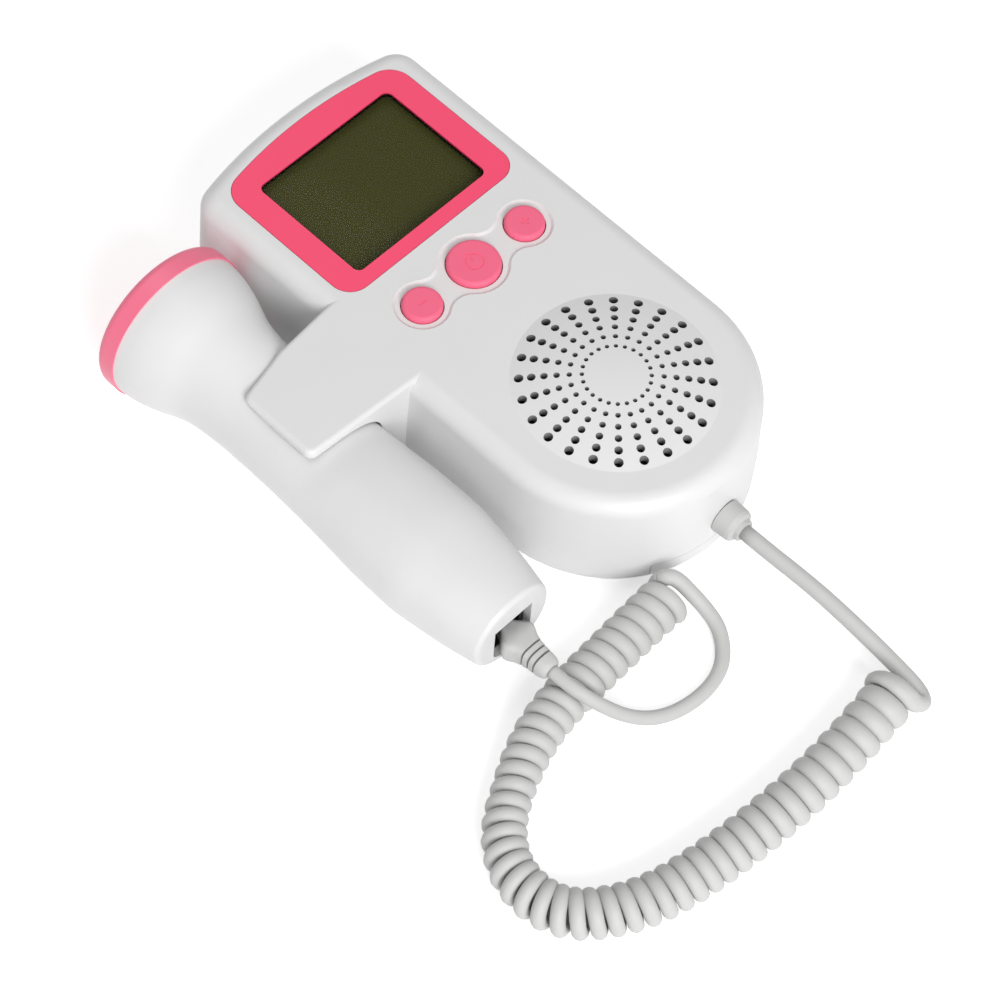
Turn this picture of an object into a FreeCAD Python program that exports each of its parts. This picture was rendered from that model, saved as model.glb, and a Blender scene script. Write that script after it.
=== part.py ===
import FreeCAD, Part
import math
import os

import Sketcher
from FreeCAD import Placement, Rotation, Vector

# Fetal doppler monitor: a pocket unit with a display, three buttons and a
# loudspeaker, and a probe on a curly cord that parks in a side holder.
# Frame: millimetres, +Z up. The unit lies on its back on Z = 0 with the
# speaker's axis at X = Y = 0, the display towards +Y and the holder at -X.

DOC = FreeCAD.newDocument("FetalDoppler")
SHEET = DOC.addObject("Spreadsheet::Sheet", "Sizes")
FAULTS = []


class Size:
    """A number and the spreadsheet formula that gives it."""

    def __init__(self, value, formula):
        self.value = value
        self.formula = formula

    def __add__(self, other):
        other = as_size(other)
        return Size(self.value + other.value, f"({self.formula} + {other.formula})")

    def __sub__(self, other):
        other = as_size(other)
        return Size(self.value - other.value, f"({self.formula} - {other.formula})")

    def __mul__(self, other):
        other = as_size(other)
        return Size(self.value * other.value, f"({self.formula} * {other.formula})")

    def __truediv__(self, other):
        other = as_size(other)
        return Size(self.value / other.value, f"({self.formula} / {other.formula})")

    def __neg__(self):
        return Size(-self.value, f"(-{self.formula})")

    __radd__ = __add__
    __rmul__ = __mul__

    def __rsub__(self, other):
        return as_size(other) - self


def as_size(number):
    """A Size as it is, and a plain number as a Size."""
    if isinstance(number, Size):
        return number
    return Size(float(number), f"({float(number)!r})")


def lesser(first, second):
    """The smaller of two sizes, also after either has changed."""
    first, second = as_size(first), as_size(second)
    formula = f"min({first.formula}; {second.formula})"
    return Size(min(first.value, second.value), formula)


def size(alias, value):
    """Write one driving dimension in the sheet and return it."""
    row = size.rows = getattr(size, "rows", 0) + 1
    SHEET.set(f"A{row}", alias.replace("_", " "))
    SHEET.set(f"B{row}", str(value))
    SHEET.setAlias(f"B{row}", alias)
    return Size(float(value), f"Sizes.{alias}")


# ---- driving dimensions -------------------------------------------------

# Unit: shells
end_radius = size("end_radius", 33.5)
body_top = size("body_top", 105.2)
crown_radius = size("crown_radius", 118.0)
corner_radius = size("corner_radius", 7.0)
face_height = size("face_height", 31.0)
parting_height = size("parting_height", 13.0)
draft_angle = size("draft_angle", 2.2)
wall = size("wall", 2.2)
top_edge_radius = size("top_edge_radius", 4.4)
base_edge_radius = size("base_edge_radius", 3.9)
clearance = size("clearance", 0.15)
boss_radius = size("boss_radius", 2.9)
screw_radius = size("screw_radius", 1.2)
screw_head_radius = size("screw_head_radius", 2.2)
screw_head_depth = size("screw_head_depth", 1.6)
upper_boss_x = size("upper_boss_x", 25.6)
upper_boss_y = size("upper_boss_y", 93.0)
lower_boss_x = size("lower_boss_x", 22.6)
lower_boss_y = size("lower_boss_y", -14.5)

# Unit: grille
dome_rise = size("dome_rise", 3.0)
dome_radius = size("dome_radius", 23.4)
grille_spokes = size("grille_spokes", 24)
first_hole_ring = size("first_hole_ring", 7.64)
hole_ring_step = size("hole_ring_step", 2.74)
first_hole_radius = size("first_hole_radius", 0.5)
hole_radius_step = size("hole_radius_step", 0.11)

# Unit: display
window_bottom = size("window_bottom", 59.6)
window_width = size("window_width", 40.7)
window_length = size("window_length", 32.4)
window_corner = size("window_corner", 1.8)
bezel_margin_side = size("bezel_margin_side", 6.55)
bezel_margin_bottom = size("bezel_margin_bottom", 3.8)
bezel_margin_top = size("bezel_margin_top", 7.5)
bezel_corner = size("bezel_corner", 5.3)
bezel_top_corner = size("bezel_top_corner", 6.2)
bezel_depth = size("bezel_depth", 1.4)
bezel_lap = size("bezel_lap", 1.5)
window_thickness = size("window_thickness", 1.0)
window_drop = size("window_drop", 0.35)
glass_thickness = size("glass_thickness", 1.8)

# Unit: buttons
button_row_y = size("button_row_y", 43.7)
button_spacing = size("button_spacing", 16.2)
power_radius = size("power_radius", 6.3)
side_radius = size("side_radius", 4.7)
button_gap = size("button_gap", 0.25)
button_rise = size("button_rise", 0.95)
button_travel = size("button_travel", 0.7)
button_flange = size("button_flange", 0.9)
flange_thickness = size("flange_thickness", 0.8)
surround_depth = size("surround_depth", 0.5)
surround_power_radius = size("surround_power_radius", 7.7)
surround_side_radius = size("surround_side_radius", 6.0)
surround_blend_radius = size("surround_blend_radius", 5.6)
surround_slope = size("surround_slope", 52.0)
mark_depth = size("mark_depth", 0.15)

# Unit: inside
board_height = size("board_height", 21.4)
board_thickness = size("board_thickness", 1.6)
board_half_width = size("board_half_width", 22.3)
board_bottom = size("board_bottom", 34.0)
board_top = size("board_top", 95.0)
switch_width = size("switch_width", 6.0)
switch_height = size("switch_height", 2.6)
speaker_radius = size("speaker_radius", 22.4)
speaker_depth = size("speaker_depth", 5.0)
magnet_radius = size("magnet_radius", 11.0)
magnet_height = size("magnet_height", 3.0)
cloth_thickness = size("cloth_thickness", 0.4)
cell_radius = size("cell_radius", 7.2)
cell_length = size("cell_length", 49.5)
cell_spacing = size("cell_spacing", 15.2)
cell_height = size("cell_height", 9.9)
bay_wall = size("bay_wall", 1.6)
bay_end_wall = size("bay_end_wall", 3.0)
bay_bottom = size("bay_bottom", -23.8)
contact_room = size("contact_room", 3.0)
contact_thickness = size("contact_thickness", 0.5)
cover_half_width = size("cover_half_width", 16.6)
cover_top = size("cover_top", 34.5)
cover_thickness = size("cover_thickness", 2.0)
cover_lip_height = size("cover_lip_height", 6.8)

# Holder
holder_tip_x = size("holder_tip_x", -61.5)
holder_bottom = size("holder_bottom", 30.2)
holder_top = size("holder_top", 58.6)
holder_tip_bottom = size("holder_tip_bottom", 32.3)
holder_tip_top = size("holder_tip_top", 53.3)
holder_tip_corner = size("holder_tip_corner", 2.1)
holder_edge_radius = size("holder_edge_radius", 1.1)
holder_gap = size("holder_gap", 0.45)
jaw_tip_x = size("jaw_tip_x", -56.5)
jaw_bottom = size("jaw_bottom", 5.6)
holder_web = size("holder_web", 4.3)

# Probe
probe_x = size("probe_x", -54.3)
probe_height = size("probe_height", 19.25)
probe_end_y = size("probe_end_y", -22.5)
probe_end_half_width = size("probe_end_half_width", 10.9)
probe_end_half_height = size("probe_end_half_height", 10.6)
handle_end_rounding = size("handle_end_rounding", 1.3)
handle_drop = size("handle_drop", 2.07)
grip_half_width = size("grip_half_width", 14.3)
grip_half_height = size("grip_half_height", 12.3)
neck_y = size("neck_y", 45.0)
neck_half_width = size("neck_half_width", 13.15)
neck_half_height = size("neck_half_height", 9.3)
head_y = size("head_y", 83.1)
head_radius = size("head_radius", 19.1)
probe_wall = size("probe_wall", 2.0)
mouth_wall = size("mouth_wall", 1.9)
spigot_length = size("spigot_length", 2.8)
probe_board_drop = size("probe_board_drop", 4.6)
transducer_radius = size("transducer_radius", 9.0)
cap_band = size("cap_band", 3.0)
cap_rounding = size("cap_rounding", 2.2)
cap_bulge = size("cap_bulge", 1.8)
socket_width = size("socket_width", 11.2)
socket_height = size("socket_height", 11.8)
socket_center_height = size("socket_center_height", 15.0)
socket_depth = size("socket_depth", 15.0)
socket_recess = size("socket_recess", 2.0)
socket_corner = size("socket_corner", 3.0)

# Cord
gland_x = size("gland_x", 1.4)
gland_radius = size("gland_radius", 4.2)
gland_tip_radius = size("gland_tip_radius", 3.6)
gland_length = size("gland_length", 4.9)
gland_neck_radius = size("gland_neck_radius", 3.0)
lead_radius = size("lead_radius", 1.85)
loop_radius = size("loop_radius", 1.65)
coil_radius = size("coil_radius", 5.2)
plug_inset = size("plug_inset", 4.0)
plug_width = size("plug_width", 7.7)
plug_height = size("plug_height", 6.6)
plug_length = size("plug_length", 11.0)
plug_center_height = size("plug_center_height", 13.4)
boot_length = size("boot_length", 15.9)
boot_tip_radius = size("boot_tip_radius", 2.5)

SHEET.recompute()


# ---- tools that make objects of the document ----------------------------

def bind(thing, prop, amount):
    """Tie one property of an object to the sheet."""
    thing.setExpression(prop, as_size(amount).formula)


def place(thing, x=0.0, y=0.0, z=0.0):
    """Tie an object's place to the sheet."""
    for axis, amount in zip("xyz", (x, y, z)):
        bind(thing, f"Placement.Base.{axis}", amount)
    return thing


def turn(thing, axis, degrees):
    """Turn an object about its own origin."""
    thing.Placement = Placement(thing.Placement.Base, Rotation(axis, degrees))
    return thing


def label(thing, name):
    """Name the object that is written as one sub-part."""
    thing.Label = name
    return thing


def cylinder(name, radius, height, x=0.0, y=0.0, z=0.0):
    """An upright cylinder on (x, y, z)."""
    thing = DOC.addObject("Part::Cylinder", name)
    bind(thing, "Radius", radius)
    bind(thing, "Height", height)
    return place(thing, x, y, z)


def box(name, x_range, y_range, z_range):
    """A box between two values on each axis."""
    thing = DOC.addObject("Part::Box", name)
    for prop, (low, high) in zip(("Length", "Width", "Height"), (x_range, y_range, z_range)):
        bind(thing, prop, as_size(high) - low)
    return place(thing, x_range[0], y_range[0], z_range[0])


def fuse(name, pieces):
    """All the pieces as one solid."""
    thing = DOC.addObject("Part::MultiFuse", name)
    thing.Shapes = list(pieces)
    return thing


def cut(name, base, tools):
    """The base without its tools, cut in one go."""
    thing = DOC.addObject("Part::Cut", name)
    thing.Base = base
    tools = list(tools)
    thing.Tool = tools[0] if len(tools) == 1 else fuse(f"{name}_tools", tools)
    return thing


def common(name, first, second):
    """What two objects share."""
    thing = DOC.addObject("Part::Common", name)
    thing.Base = first
    thing.Tool = second
    return thing


def group(name, pieces):
    """Separate solids kept together as one sub-part."""
    thing = DOC.addObject("Part::Compound", name)
    thing.Links = list(pieces)
    return thing


def body(name):
    """A new PartDesign body."""
    return DOC.addObject("PartDesign::Body", name)


def sketch(owner, name, role="XY_Plane", height=0.0):
    """A sketch on one of the body's own planes, moved along its normal."""
    drawing = owner.newObject("Sketcher::SketchObject", name)
    plane = [f for f in owner.Origin.OriginFeatures if f.Role == role][0]
    drawing.AttachmentSupport = [(plane, "")]
    drawing.MapMode = "FlatFace"
    bind(drawing, "AttachmentOffset.Base.z", height)
    return drawing


def fix_point(drawing, index, corner, x, y):
    """Hold one point of a sketch at (x, y) from the origin."""
    for kind, amount, axis in (("DistanceX", x, -2), ("DistanceY", y, -1)):
        amount = as_size(amount)
        if amount.formula == "(0.0)":
            drawing.addConstraint(Sketcher.Constraint("PointOnObject", index, corner, axis))
            continue
        number = drawing.addConstraint(
            Sketcher.Constraint(kind, -1, 1, index, corner, amount.value))
        drawing.setExpression(f"Constraints[{number}]", amount.formula)


def fix_radius(drawing, index, radius):
    """Hold the radius of a circle or arc."""
    number = drawing.addConstraint(Sketcher.Constraint("Radius", index, radius.value))
    drawing.setExpression(f"Constraints[{number}]", radius.formula)


def circle(drawing, x, y, radius):
    """A circle about (x, y)."""
    x, y, radius = as_size(x), as_size(y), as_size(radius)
    shape = Part.Circle(Vector(x.value, y.value, 0), Vector(0, 0, 1), radius.value)
    index = drawing.addGeometry(shape)
    fix_point(drawing, index, 3, x, y)
    fix_radius(drawing, index, radius)


def polygon(drawing, points):
    """A closed outline of straight edges through the points."""
    points = [(as_size(x), as_size(y)) for x, y in points]
    corners = [Vector(x.value, y.value, 0) for x, y in points]
    first = drawing.GeometryCount
    count = len(points)
    for number, corner in enumerate(corners):
        drawing.addGeometry(Part.LineSegment(corner, corners[(number + 1) % count]))
    for number, (x, y) in enumerate(points):
        before = first + (number - 1) % count
        drawing.addConstraint(Sketcher.Constraint("Coincident", before, 2, first + number, 1))
        fix_point(drawing, first + number, 1, x, y)


def arc_between(center, start, end):
    """An arc about a centre, counter-clockwise from one angle to another."""
    whole = Part.Circle(Vector(*center[:2], 0), Vector(0, 0, 1), center[2])
    return Part.ArcOfCircle(whole, math.radians(start), math.radians(end))


def rounded_box(drawing, left, bottom, right, top, radius):
    """A rectangle with four equal round corners."""
    left, bottom, right, top, radius = map(as_size, (left, bottom, right, top, radius))
    xs = (left.value, right.value)
    ys = (bottom.value, top.value)
    r = radius.value
    first = drawing.GeometryCount
    arcs = [arc_between((xs[0] + r, ys[0] + r, r), 180, 270),
            arc_between((xs[1] - r, ys[0] + r, r), 270, 360),
            arc_between((xs[1] - r, ys[1] - r, r), 0, 90),
            arc_between((xs[0] + r, ys[1] - r, r), 90, 180)]
    for number, arc in enumerate(arcs):
        following = arcs[(number + 1) % 4]
        drawing.addGeometry(arc)
        drawing.addGeometry(Part.LineSegment(arc.EndPoint, following.StartPoint))
    for number in range(4):
        arc, line = first + 2 * number, first + 2 * number + 1
        following = first + (2 * number + 2) % 8
        drawing.addConstraint(Sketcher.Constraint("Tangent", arc, 2, line, 1))
        drawing.addConstraint(Sketcher.Constraint("Tangent", line, 2, following, 1))
        drawing.addConstraint(
            Sketcher.Constraint("Horizontal" if number % 2 == 0 else "Vertical", line))
        if number:
            drawing.addConstraint(Sketcher.Constraint("Equal", first, arc))
    fix_radius(drawing, first, radius)
    fix_point(drawing, first, 3, left + radius, bottom + radius)
    fix_point(drawing, first + 4, 3, right - radius, top - radius)


def pad(owner, drawing, length, name="Pad", down=False, taper=None):
    """Raise a solid from a sketch."""
    step = owner.newObject("PartDesign::Pad", name)
    step.Profile = drawing
    step.Reversed = down
    bind(step, "Length", length)
    if taper is not None:
        bind(step, "TaperAngle", taper)
    return step


def pocket(owner, drawing, depth, name="Pocket", up=False):
    """Cut a sketch into the body, downwards unless told otherwise."""
    DOC.recompute()
    before = owner.Shape.Volume
    step = owner.newObject("PartDesign::Pocket", name)
    step.Profile = drawing
    step.Reversed = up
    bind(step, "Length", depth)
    DOC.recompute()
    if owner.Shape.Volume >= before - 1e-6:
        FAULTS.append(f"{owner.Label}: {name} cuts nothing")
    return step


def revolve(owner, drawing, axis, name="Revolution", groove=False):
    """Turn a profile a full turn about one of the sketch's own axes."""
    kind = "PartDesign::Groove" if groove else "PartDesign::Revolution"
    step = owner.newObject(kind, name)
    step.Profile = drawing
    step.ReferenceAxis = (drawing, [axis])
    step.Angle = 360.0
    return step


def polar(owner, feature, count, name="PolarPattern"):
    """Repeat a feature about the vertical axis."""
    pattern = owner.newObject("PartDesign::PolarPattern", name)
    pattern.Originals = [feature]
    pattern.Axis = (feature.Profile[0], ["N_Axis"])
    pattern.Angle = 360.0
    bind(pattern, "Occurrences", count)
    owner.Tip = pattern
    return pattern


def fillet(owner, base, edges, radius, name="Fillet"):
    """Round the named edges of a feature."""
    step = owner.newObject("PartDesign::Fillet", name)
    step.Base = (base, edges)
    bind(step, "Radius", radius)
    return step


def edges_where(thing, test):
    """Names of the edges that pass a test on their box."""
    names = []
    for number, edge in enumerate(thing.Shape.Edges, 1):
        if test(edge.BoundBox):
            names.append(f"Edge{number}")
    return names


def flat_at(height, tolerance=0.01):
    """A test for edges that lie wholly at one height."""
    level = as_size(height).value

    def test(bounds):
        return abs(bounds.ZMin - level) < tolerance and abs(bounds.ZMax - level) < tolerance
    return test


def turned(name, profile, x=0.0, y=0.0, z=0.0, lying=False):
    """A body turned about Z, or about Y where it lies, from (radius, height) points."""
    owner = body(name)
    drawing = sketch(owner, f"{name}_profile", "XY_Plane" if lying else "XZ_Plane")
    polygon(drawing, profile)
    revolve(owner, drawing, "V_Axis")
    return place(owner, x, y, z)


def feature(name, shape):
    """A Part::Feature that holds a shape made by code."""
    thing = DOC.addObject("Part::Feature", name)
    thing.Shape = shape
    return thing


# ---- outlines of the unit -----------------------------------------------

def unit_outline(owner, name, height, inset):
    """The unit's outline: a half round, two straight sides and a crown."""
    drawing = sketch(owner, name, "XY_Plane", height)
    radius = end_radius - inset
    corner = corner_radius - inset
    crown = crown_radius - inset
    crown_y = body_top - crown_radius
    side = radius.value
    r = corner.value
    # The corner arc touches the side and, from inside, the crown.
    corner_x = side - r
    corner_y = crown_y.value + math.sqrt((crown.value - r) ** 2 - corner_x ** 2)
    lean = math.degrees(math.atan2(corner_y - crown_y.value, corner_x))
    right = arc_between((corner_x, corner_y, r), 0, lean)
    left = arc_between((-corner_x, corner_y, r), 180 - lean, 180)
    pieces = [arc_between((0, 0, side), 180, 360),
              Part.LineSegment(Vector(side, 0, 0), Vector(side, corner_y, 0)),
              right,
              arc_between((0, crown_y.value, crown.value), lean, 180 - lean),
              left,
              Part.LineSegment(Vector(-side, corner_y, 0), Vector(-side, 0, 0))]
    for piece in pieces:
        drawing.addGeometry(piece)
    for number in range(6):
        following = (number + 1) % 6
        drawing.addConstraint(Sketcher.Constraint("Tangent", number, 2, following, 1))
    drawing.addConstraint(Sketcher.Constraint("Vertical", 1))
    drawing.addConstraint(Sketcher.Constraint("Vertical", 5))
    fix_point(drawing, 0, 3, 0.0, 0.0)
    fix_radius(drawing, 0, radius)
    fix_radius(drawing, 2, corner)
    drawing.addConstraint(Sketcher.Constraint("Equal", 2, 4))
    fix_radius(drawing, 3, crown)
    fix_point(drawing, 3, 3, 0.0, crown_y)
    return drawing


def outline_prism(name, low, high, inset, taper=None, down=False):
    """The unit's outline raised between two heights."""
    owner = body(name)
    start = high if down else low
    drawing = unit_outline(owner, f"{name}_outline", start, inset)
    pad(owner, drawing, as_size(high) - low, taper=taper, down=down)
    DOC.recompute()
    return owner


def dome_solid(name, drop, low, lap=0.0):
    """The grille's round cap above a height, lowered by a drop."""
    owner = body(name)
    drawing = sketch(owner, f"{name}_profile", "XZ_Plane")
    edge = dome_radius + lap
    top = face_height + dome_rise - drop
    # Sphere through the cap's centre and its rim.
    rim_drop = dome_rise
    ball = (dome_radius * dome_radius + rim_drop * rim_drop) / (2.0 * rim_drop)
    centre_z = top - ball
    angle = math.degrees(math.asin(edge.value / ball.value))
    start = Vector(0, low.value, 0)
    rim_z = centre_z.value + ball.value * math.cos(math.radians(angle))
    rim = Vector(edge.value, rim_z, 0)
    foot = Vector(edge.value, low.value, 0)
    crown = Vector(0, top.value, 0)
    drawing.addGeometry(Part.LineSegment(start, foot))
    drawing.addGeometry(Part.LineSegment(foot, rim))
    drawing.addGeometry(arc_between((0, centre_z.value, ball.value), 90 - angle, 90))
    drawing.addGeometry(Part.LineSegment(crown, start))
    for before, after in ((0, 1), (1, 2), (2, 3), (3, 0)):
        end = 2
        drawing.addConstraint(Sketcher.Constraint("Coincident", before, end, after, 1))
    fix_point(drawing, 0, 1, 0.0, low)
    fix_point(drawing, 0, 2, edge, low)
    drawing.addConstraint(Sketcher.Constraint("Vertical", 1))
    fix_point(drawing, 2, 3, 0.0, centre_z)
    fix_radius(drawing, 2, ball)
    drawing.addConstraint(Sketcher.Constraint("PointOnObject", 2, 2, -2))
    revolve(owner, drawing, "V_Axis")
    DOC.recompute()
    return owner


def window_outline(owner, name, height, half_width, bottom, corners, crown_inset):
    """A frame's outline: flat sides and foot, and a crown like the unit's."""
    drawing = sketch(owner, name, "XY_Plane", height)
    half_width, bottom = as_size(half_width), as_size(bottom)
    foot_corner, top_corner = corners
    crown = crown_radius - crown_inset
    crown_y = body_top - crown_radius
    side, low, r, top_r = half_width.value, bottom.value, foot_corner.value, top_corner.value
    foot_x, top_x = side - r, side - top_r
    top_y = crown_y.value + math.sqrt((crown.value - top_r) ** 2 - top_x ** 2)
    lean = math.degrees(math.atan2(top_y - crown_y.value, top_x))
    pieces = [Part.LineSegment(Vector(-foot_x, low, 0), Vector(foot_x, low, 0)),
              arc_between((foot_x, low + r, r), 270, 360),
              Part.LineSegment(Vector(side, low + r, 0), Vector(side, top_y, 0)),
              arc_between((top_x, top_y, top_r), 0, lean),
              arc_between((0, crown_y.value, crown.value), lean, 180 - lean),
              arc_between((-top_x, top_y, top_r), 180 - lean, 180),
              Part.LineSegment(Vector(-side, top_y, 0), Vector(-side, low + r, 0)),
              arc_between((-foot_x, low + r, r), 180, 270)]
    for piece in pieces:
        drawing.addGeometry(piece)
    for number in range(8):
        following = (number + 1) % 8
        drawing.addConstraint(Sketcher.Constraint("Tangent", number, 2, following, 1))
    drawing.addConstraint(Sketcher.Constraint("Horizontal", 0))
    drawing.addConstraint(Sketcher.Constraint("Vertical", 2))
    drawing.addConstraint(Sketcher.Constraint("Vertical", 6))
    drawing.addConstraint(Sketcher.Constraint("Equal", 3, 5))
    fix_radius(drawing, 1, foot_corner)
    fix_radius(drawing, 3, top_corner)
    fix_point(drawing, 1, 3, half_width - foot_corner, bottom + foot_corner)
    fix_radius(drawing, 4, crown)
    fix_point(drawing, 4, 3, 0.0, crown_y)
    drawing.addConstraint(Sketcher.Constraint("Symmetric", 7, 3, 1, 3, -2))
    return drawing


# ---- heights worked out from the driving dimensions ---------------------

ceiling = face_height - wall
window_top = face_height - bezel_depth
window_under = window_top - window_thickness
glass_top = window_under - 0.2
glass_under = glass_top - glass_thickness
board_face = board_height + board_thickness
switch_top = board_face + switch_height
window_side = window_width / 2.0
window_end = window_bottom + window_length
bay_top = bay_bottom + cell_length + contact_room * 2.0
bay_side = cell_spacing / 2.0 + cell_radius + 0.4
bay_ceiling = cell_height + cell_radius + 0.3
holder_wall_x = -end_radius - holder_web
lip_hole_y = bay_bottom - bay_wall - 0.2
flange_top = ceiling - 0.1
button_bottom = flange_top - flange_thickness
pad_plate = as_size(0.8)
post_places = ((19.5, 36.0), (19.5, 53.2))
post_radius = as_size(2.0)
board_screw_radius = as_size(0.9)


def both_sides(places):
    """Each (x, y) place and its mirror image in the unit's axis."""
    for x, y in places:
        yield x, y
        yield -as_size(x), y


def shell_screw_places():
    """Where the four shell screws stand."""
    return list(both_sides(((lower_boss_x, lower_boss_y), (upper_boss_x, upper_boss_y))))


# ---- the unit's shells --------------------------------------------------

def holder_outline(name, low, high, round_top):
    """The side arm that the probe parks under, between two heights."""
    owner = body(name)
    drawing = sketch(owner, f"{name}_outline", "XY_Plane", low)
    inside = -end_radius + 9.0
    polygon(drawing, [(inside, holder_bottom), (holder_tip_x, holder_tip_bottom),
                      (holder_tip_x, holder_tip_top), (holder_tip_x + 14.0, holder_top - 1.9),
                      (inside, holder_top + 0.3)])
    block = pad(owner, drawing, as_size(high) - low)
    DOC.recompute()
    tip = holder_tip_x.value

    def at_tip(bounds):
        upright = bounds.ZLength > 1 and bounds.XLength < 0.01 and bounds.YLength < 0.01
        return upright and abs(bounds.XMin - tip) < 0.01
    rounded = fillet(owner, block, edges_where(block, at_tip), holder_tip_corner, "TipFillet")
    DOC.recompute()
    if round_top:
        level = flat_at(high)

        def outer_top(bounds):
            return level(bounds) and bounds.XMin < inside.value - 0.01
        edges = edges_where(rounded, outer_top)
        fillet(owner, rounded, edges, holder_edge_radius, "EdgeFillet")
        DOC.recompute()
    return owner


def oval_wire(y, half_width, half_height, power, drop=0.0, height=None):
    """A superellipse round the probe's axis, or below it by a drop, as one curve."""
    level = (height or probe_height).value - drop
    points = []
    count = 32
    for step in range(count):
        angle = 2.0 * math.pi * step / count
        c, s = math.cos(angle), math.sin(angle)
        x = half_width * math.copysign(abs(c) ** (2.0 / power), c)
        z = half_height * math.copysign(abs(s) ** (2.0 / power), s)
        points.append(Vector(probe_x.value + x, y, level + z))
    curve = Part.BSplineCurve()
    curve.interpolate(points, PeriodicFlag=True)
    return Part.Wire(curve.toShape())


def probe_stations(inset):
    """Half width, half height, roundness and drop of the probe along its length."""
    end, grip, neck = probe_end_y.value, 2.0, neck_y.value
    end_wide, end_high = probe_end_half_width.value, probe_end_half_height.value
    grip_wide, grip_high = grip_half_width.value, grip_half_height.value
    neck_wide, neck_high = neck_half_width.value, neck_half_height.value
    rows = [(end, end_wide, end_high, 2.15),
            (end + 3.3, end_wide + 0.65, end_high + 0.35, 2.22),
            (end + 7.5, end_wide + 1.4, end_high + 0.75, 2.35),
            (grip - 10.0, grip_wide - 1.15, grip_high - 0.5, 2.6),
            (grip, grip_wide, grip_high, 2.6),
            (grip + 10.0, grip_wide - 0.1, grip_high - 0.5, 2.6),
            (neck - 21.0, neck_wide + 0.4, neck_high + 1.4, 2.6),
            (neck - 13.0, neck_wide + 0.15, neck_high + 0.3, 2.6),
            (neck, neck_wide, neck_high, 2.5),
            (neck + 8.0, neck_wide, neck_high + 0.9, 2.3)]
    # The bell of the head, as distance behind its rim and share of its radius.
    bell = [(25.1, 0.699, 0.600, 2.15), (21.1, 0.713, 0.667, 2.05), (17.1, 0.742, 0.735, 2.0),
            (14.1, 0.787, 0.786, 2.0), (11.1, 0.849, 0.849, 2.0), (8.1, 0.903, 0.903, 2.0),
            (5.1, 0.945, 0.945, 2.0), (2.5, 0.968, 0.968, 2.0), (0.0, 0.98, 0.98, 2.0)]
    radius = head_radius.value
    rows += [(head_y.value - behind, wide * radius, high * radius, power)
             for behind, wide, high, power in bell]
    return [(y, wide - inset, high - inset, power, handle_drop_at(y).value)
            for y, wide, high, power in rows]


def handle_drop_at(y):
    """How far the handle's axis hangs below the head's, none beyond the neck."""
    if as_size(y).value >= neck_y.value:
        return as_size(0.0)
    return handle_drop * (neck_y - y) / (neck_y - probe_end_y)


def eased(stations, at):
    """A column of stations at one place, by a cubic that never overshoots."""
    slopes = []
    steps = [(v2 - v1) / (y2 - y1) for (y1, v1), (y2, v2) in zip(stations, stations[1:])]
    for before, after in zip(steps, steps[1:]):
        same_way = before * after > 0
        slopes.append(2.0 * before * after / (before + after) if same_way else 0.0)
    slopes = [steps[0]] + slopes + [steps[-1]]
    for number, ((y1, v1), (y2, v2)) in enumerate(zip(stations, stations[1:])):
        if at <= y2 or number == len(stations) - 2:
            break
    span = y2 - y1
    t = (at - y1) / span
    m1, m2 = slopes[number] * span, slopes[number + 1] * span
    return (v1 * (1 + 2 * t) * (1 - t) ** 2 + m1 * t * (1 - t) ** 2
            + v2 * t * t * (3 - 2 * t) + m2 * t * t * (t - 1))


def skin_through(stations, longest=3.2):
    """A smooth solid through the stations, with sections added between them."""
    columns = [[(row[0], row[column]) for row in stations] for column in (1, 2, 3, 4)]
    wires = []
    for row, following in zip(stations, stations[1:]):
        pieces = max(1, math.ceil((following[0] - row[0]) / longest))
        for piece in range(pieces):
            y = row[0] + (following[0] - row[0]) * piece / pieces
            wires.append(oval_wire(y, *(eased(column, y) for column in columns)))
    wires.append(oval_wire(*stations[-1]))
    return Part.makeLoft(wires, True, False)


def handle_room():
    """The hollow inside the handle, up to the shoulder under the cap's spigot."""
    first, last = probe_end_y.value + 3.0, (head_y - spigot_length).value
    stations = [row for row in probe_stations(probe_wall.value)
                if first < row[0] < last - 1.0]
    shoulder = (head_radius * 0.96 - probe_wall).value
    stations.append((last, shoulder, shoulder, 2.0, 0.0))
    return skin_through(stations)


def holder_space():
    """The room for the probe's neck in the holder, open towards -X."""
    stations = probe_stations(-holder_gap.value)
    columns = [[(row[0], row[column]) for row in stations] for column in (1, 2, 3, 4)]
    axis_x, axis_z = probe_x.value, probe_height.value
    low, high = holder_bottom.value - 6.0, holder_top.value + 6.0
    count = math.ceil((high - low) / 3.0)
    ovals = []
    mouths = []
    for number in range(count + 1):
        y = low + (high - low) * number / count
        half_width, half_height, power, drop = (eased(column, y) for column in columns)
        ovals.append(oval_wire(y, half_width, half_height, power, drop))
        corners = [Vector(axis_x + x, y, axis_z - drop + z)
                   for x, z in ((0, -half_height), (0, half_height), (-30.0, half_height),
                                (-30.0, -half_height))]
        mouths.append(Part.makePolygon(corners + corners[:1]))
    depth = neck_half_height.value + holder_gap.value
    flank = [(axis_x, axis_z), (axis_x + neck_half_width.value + 1.0, axis_z + 0.5),
             (holder_wall_x.value, parting_height.value - 0.5),
             (holder_wall_x.value, axis_z - depth), (axis_x, axis_z - depth)]
    corners = [Vector(x, low, z) for x, z in flank]
    side = Part.Face(Part.makePolygon(corners + corners[:1])).extrude(Vector(0, high - low, 0))
    oval = Part.makeLoft(ovals, True, True)
    mouth = Part.makeLoft(mouths, True, True)
    return oval.fuse([mouth, side])


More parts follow.
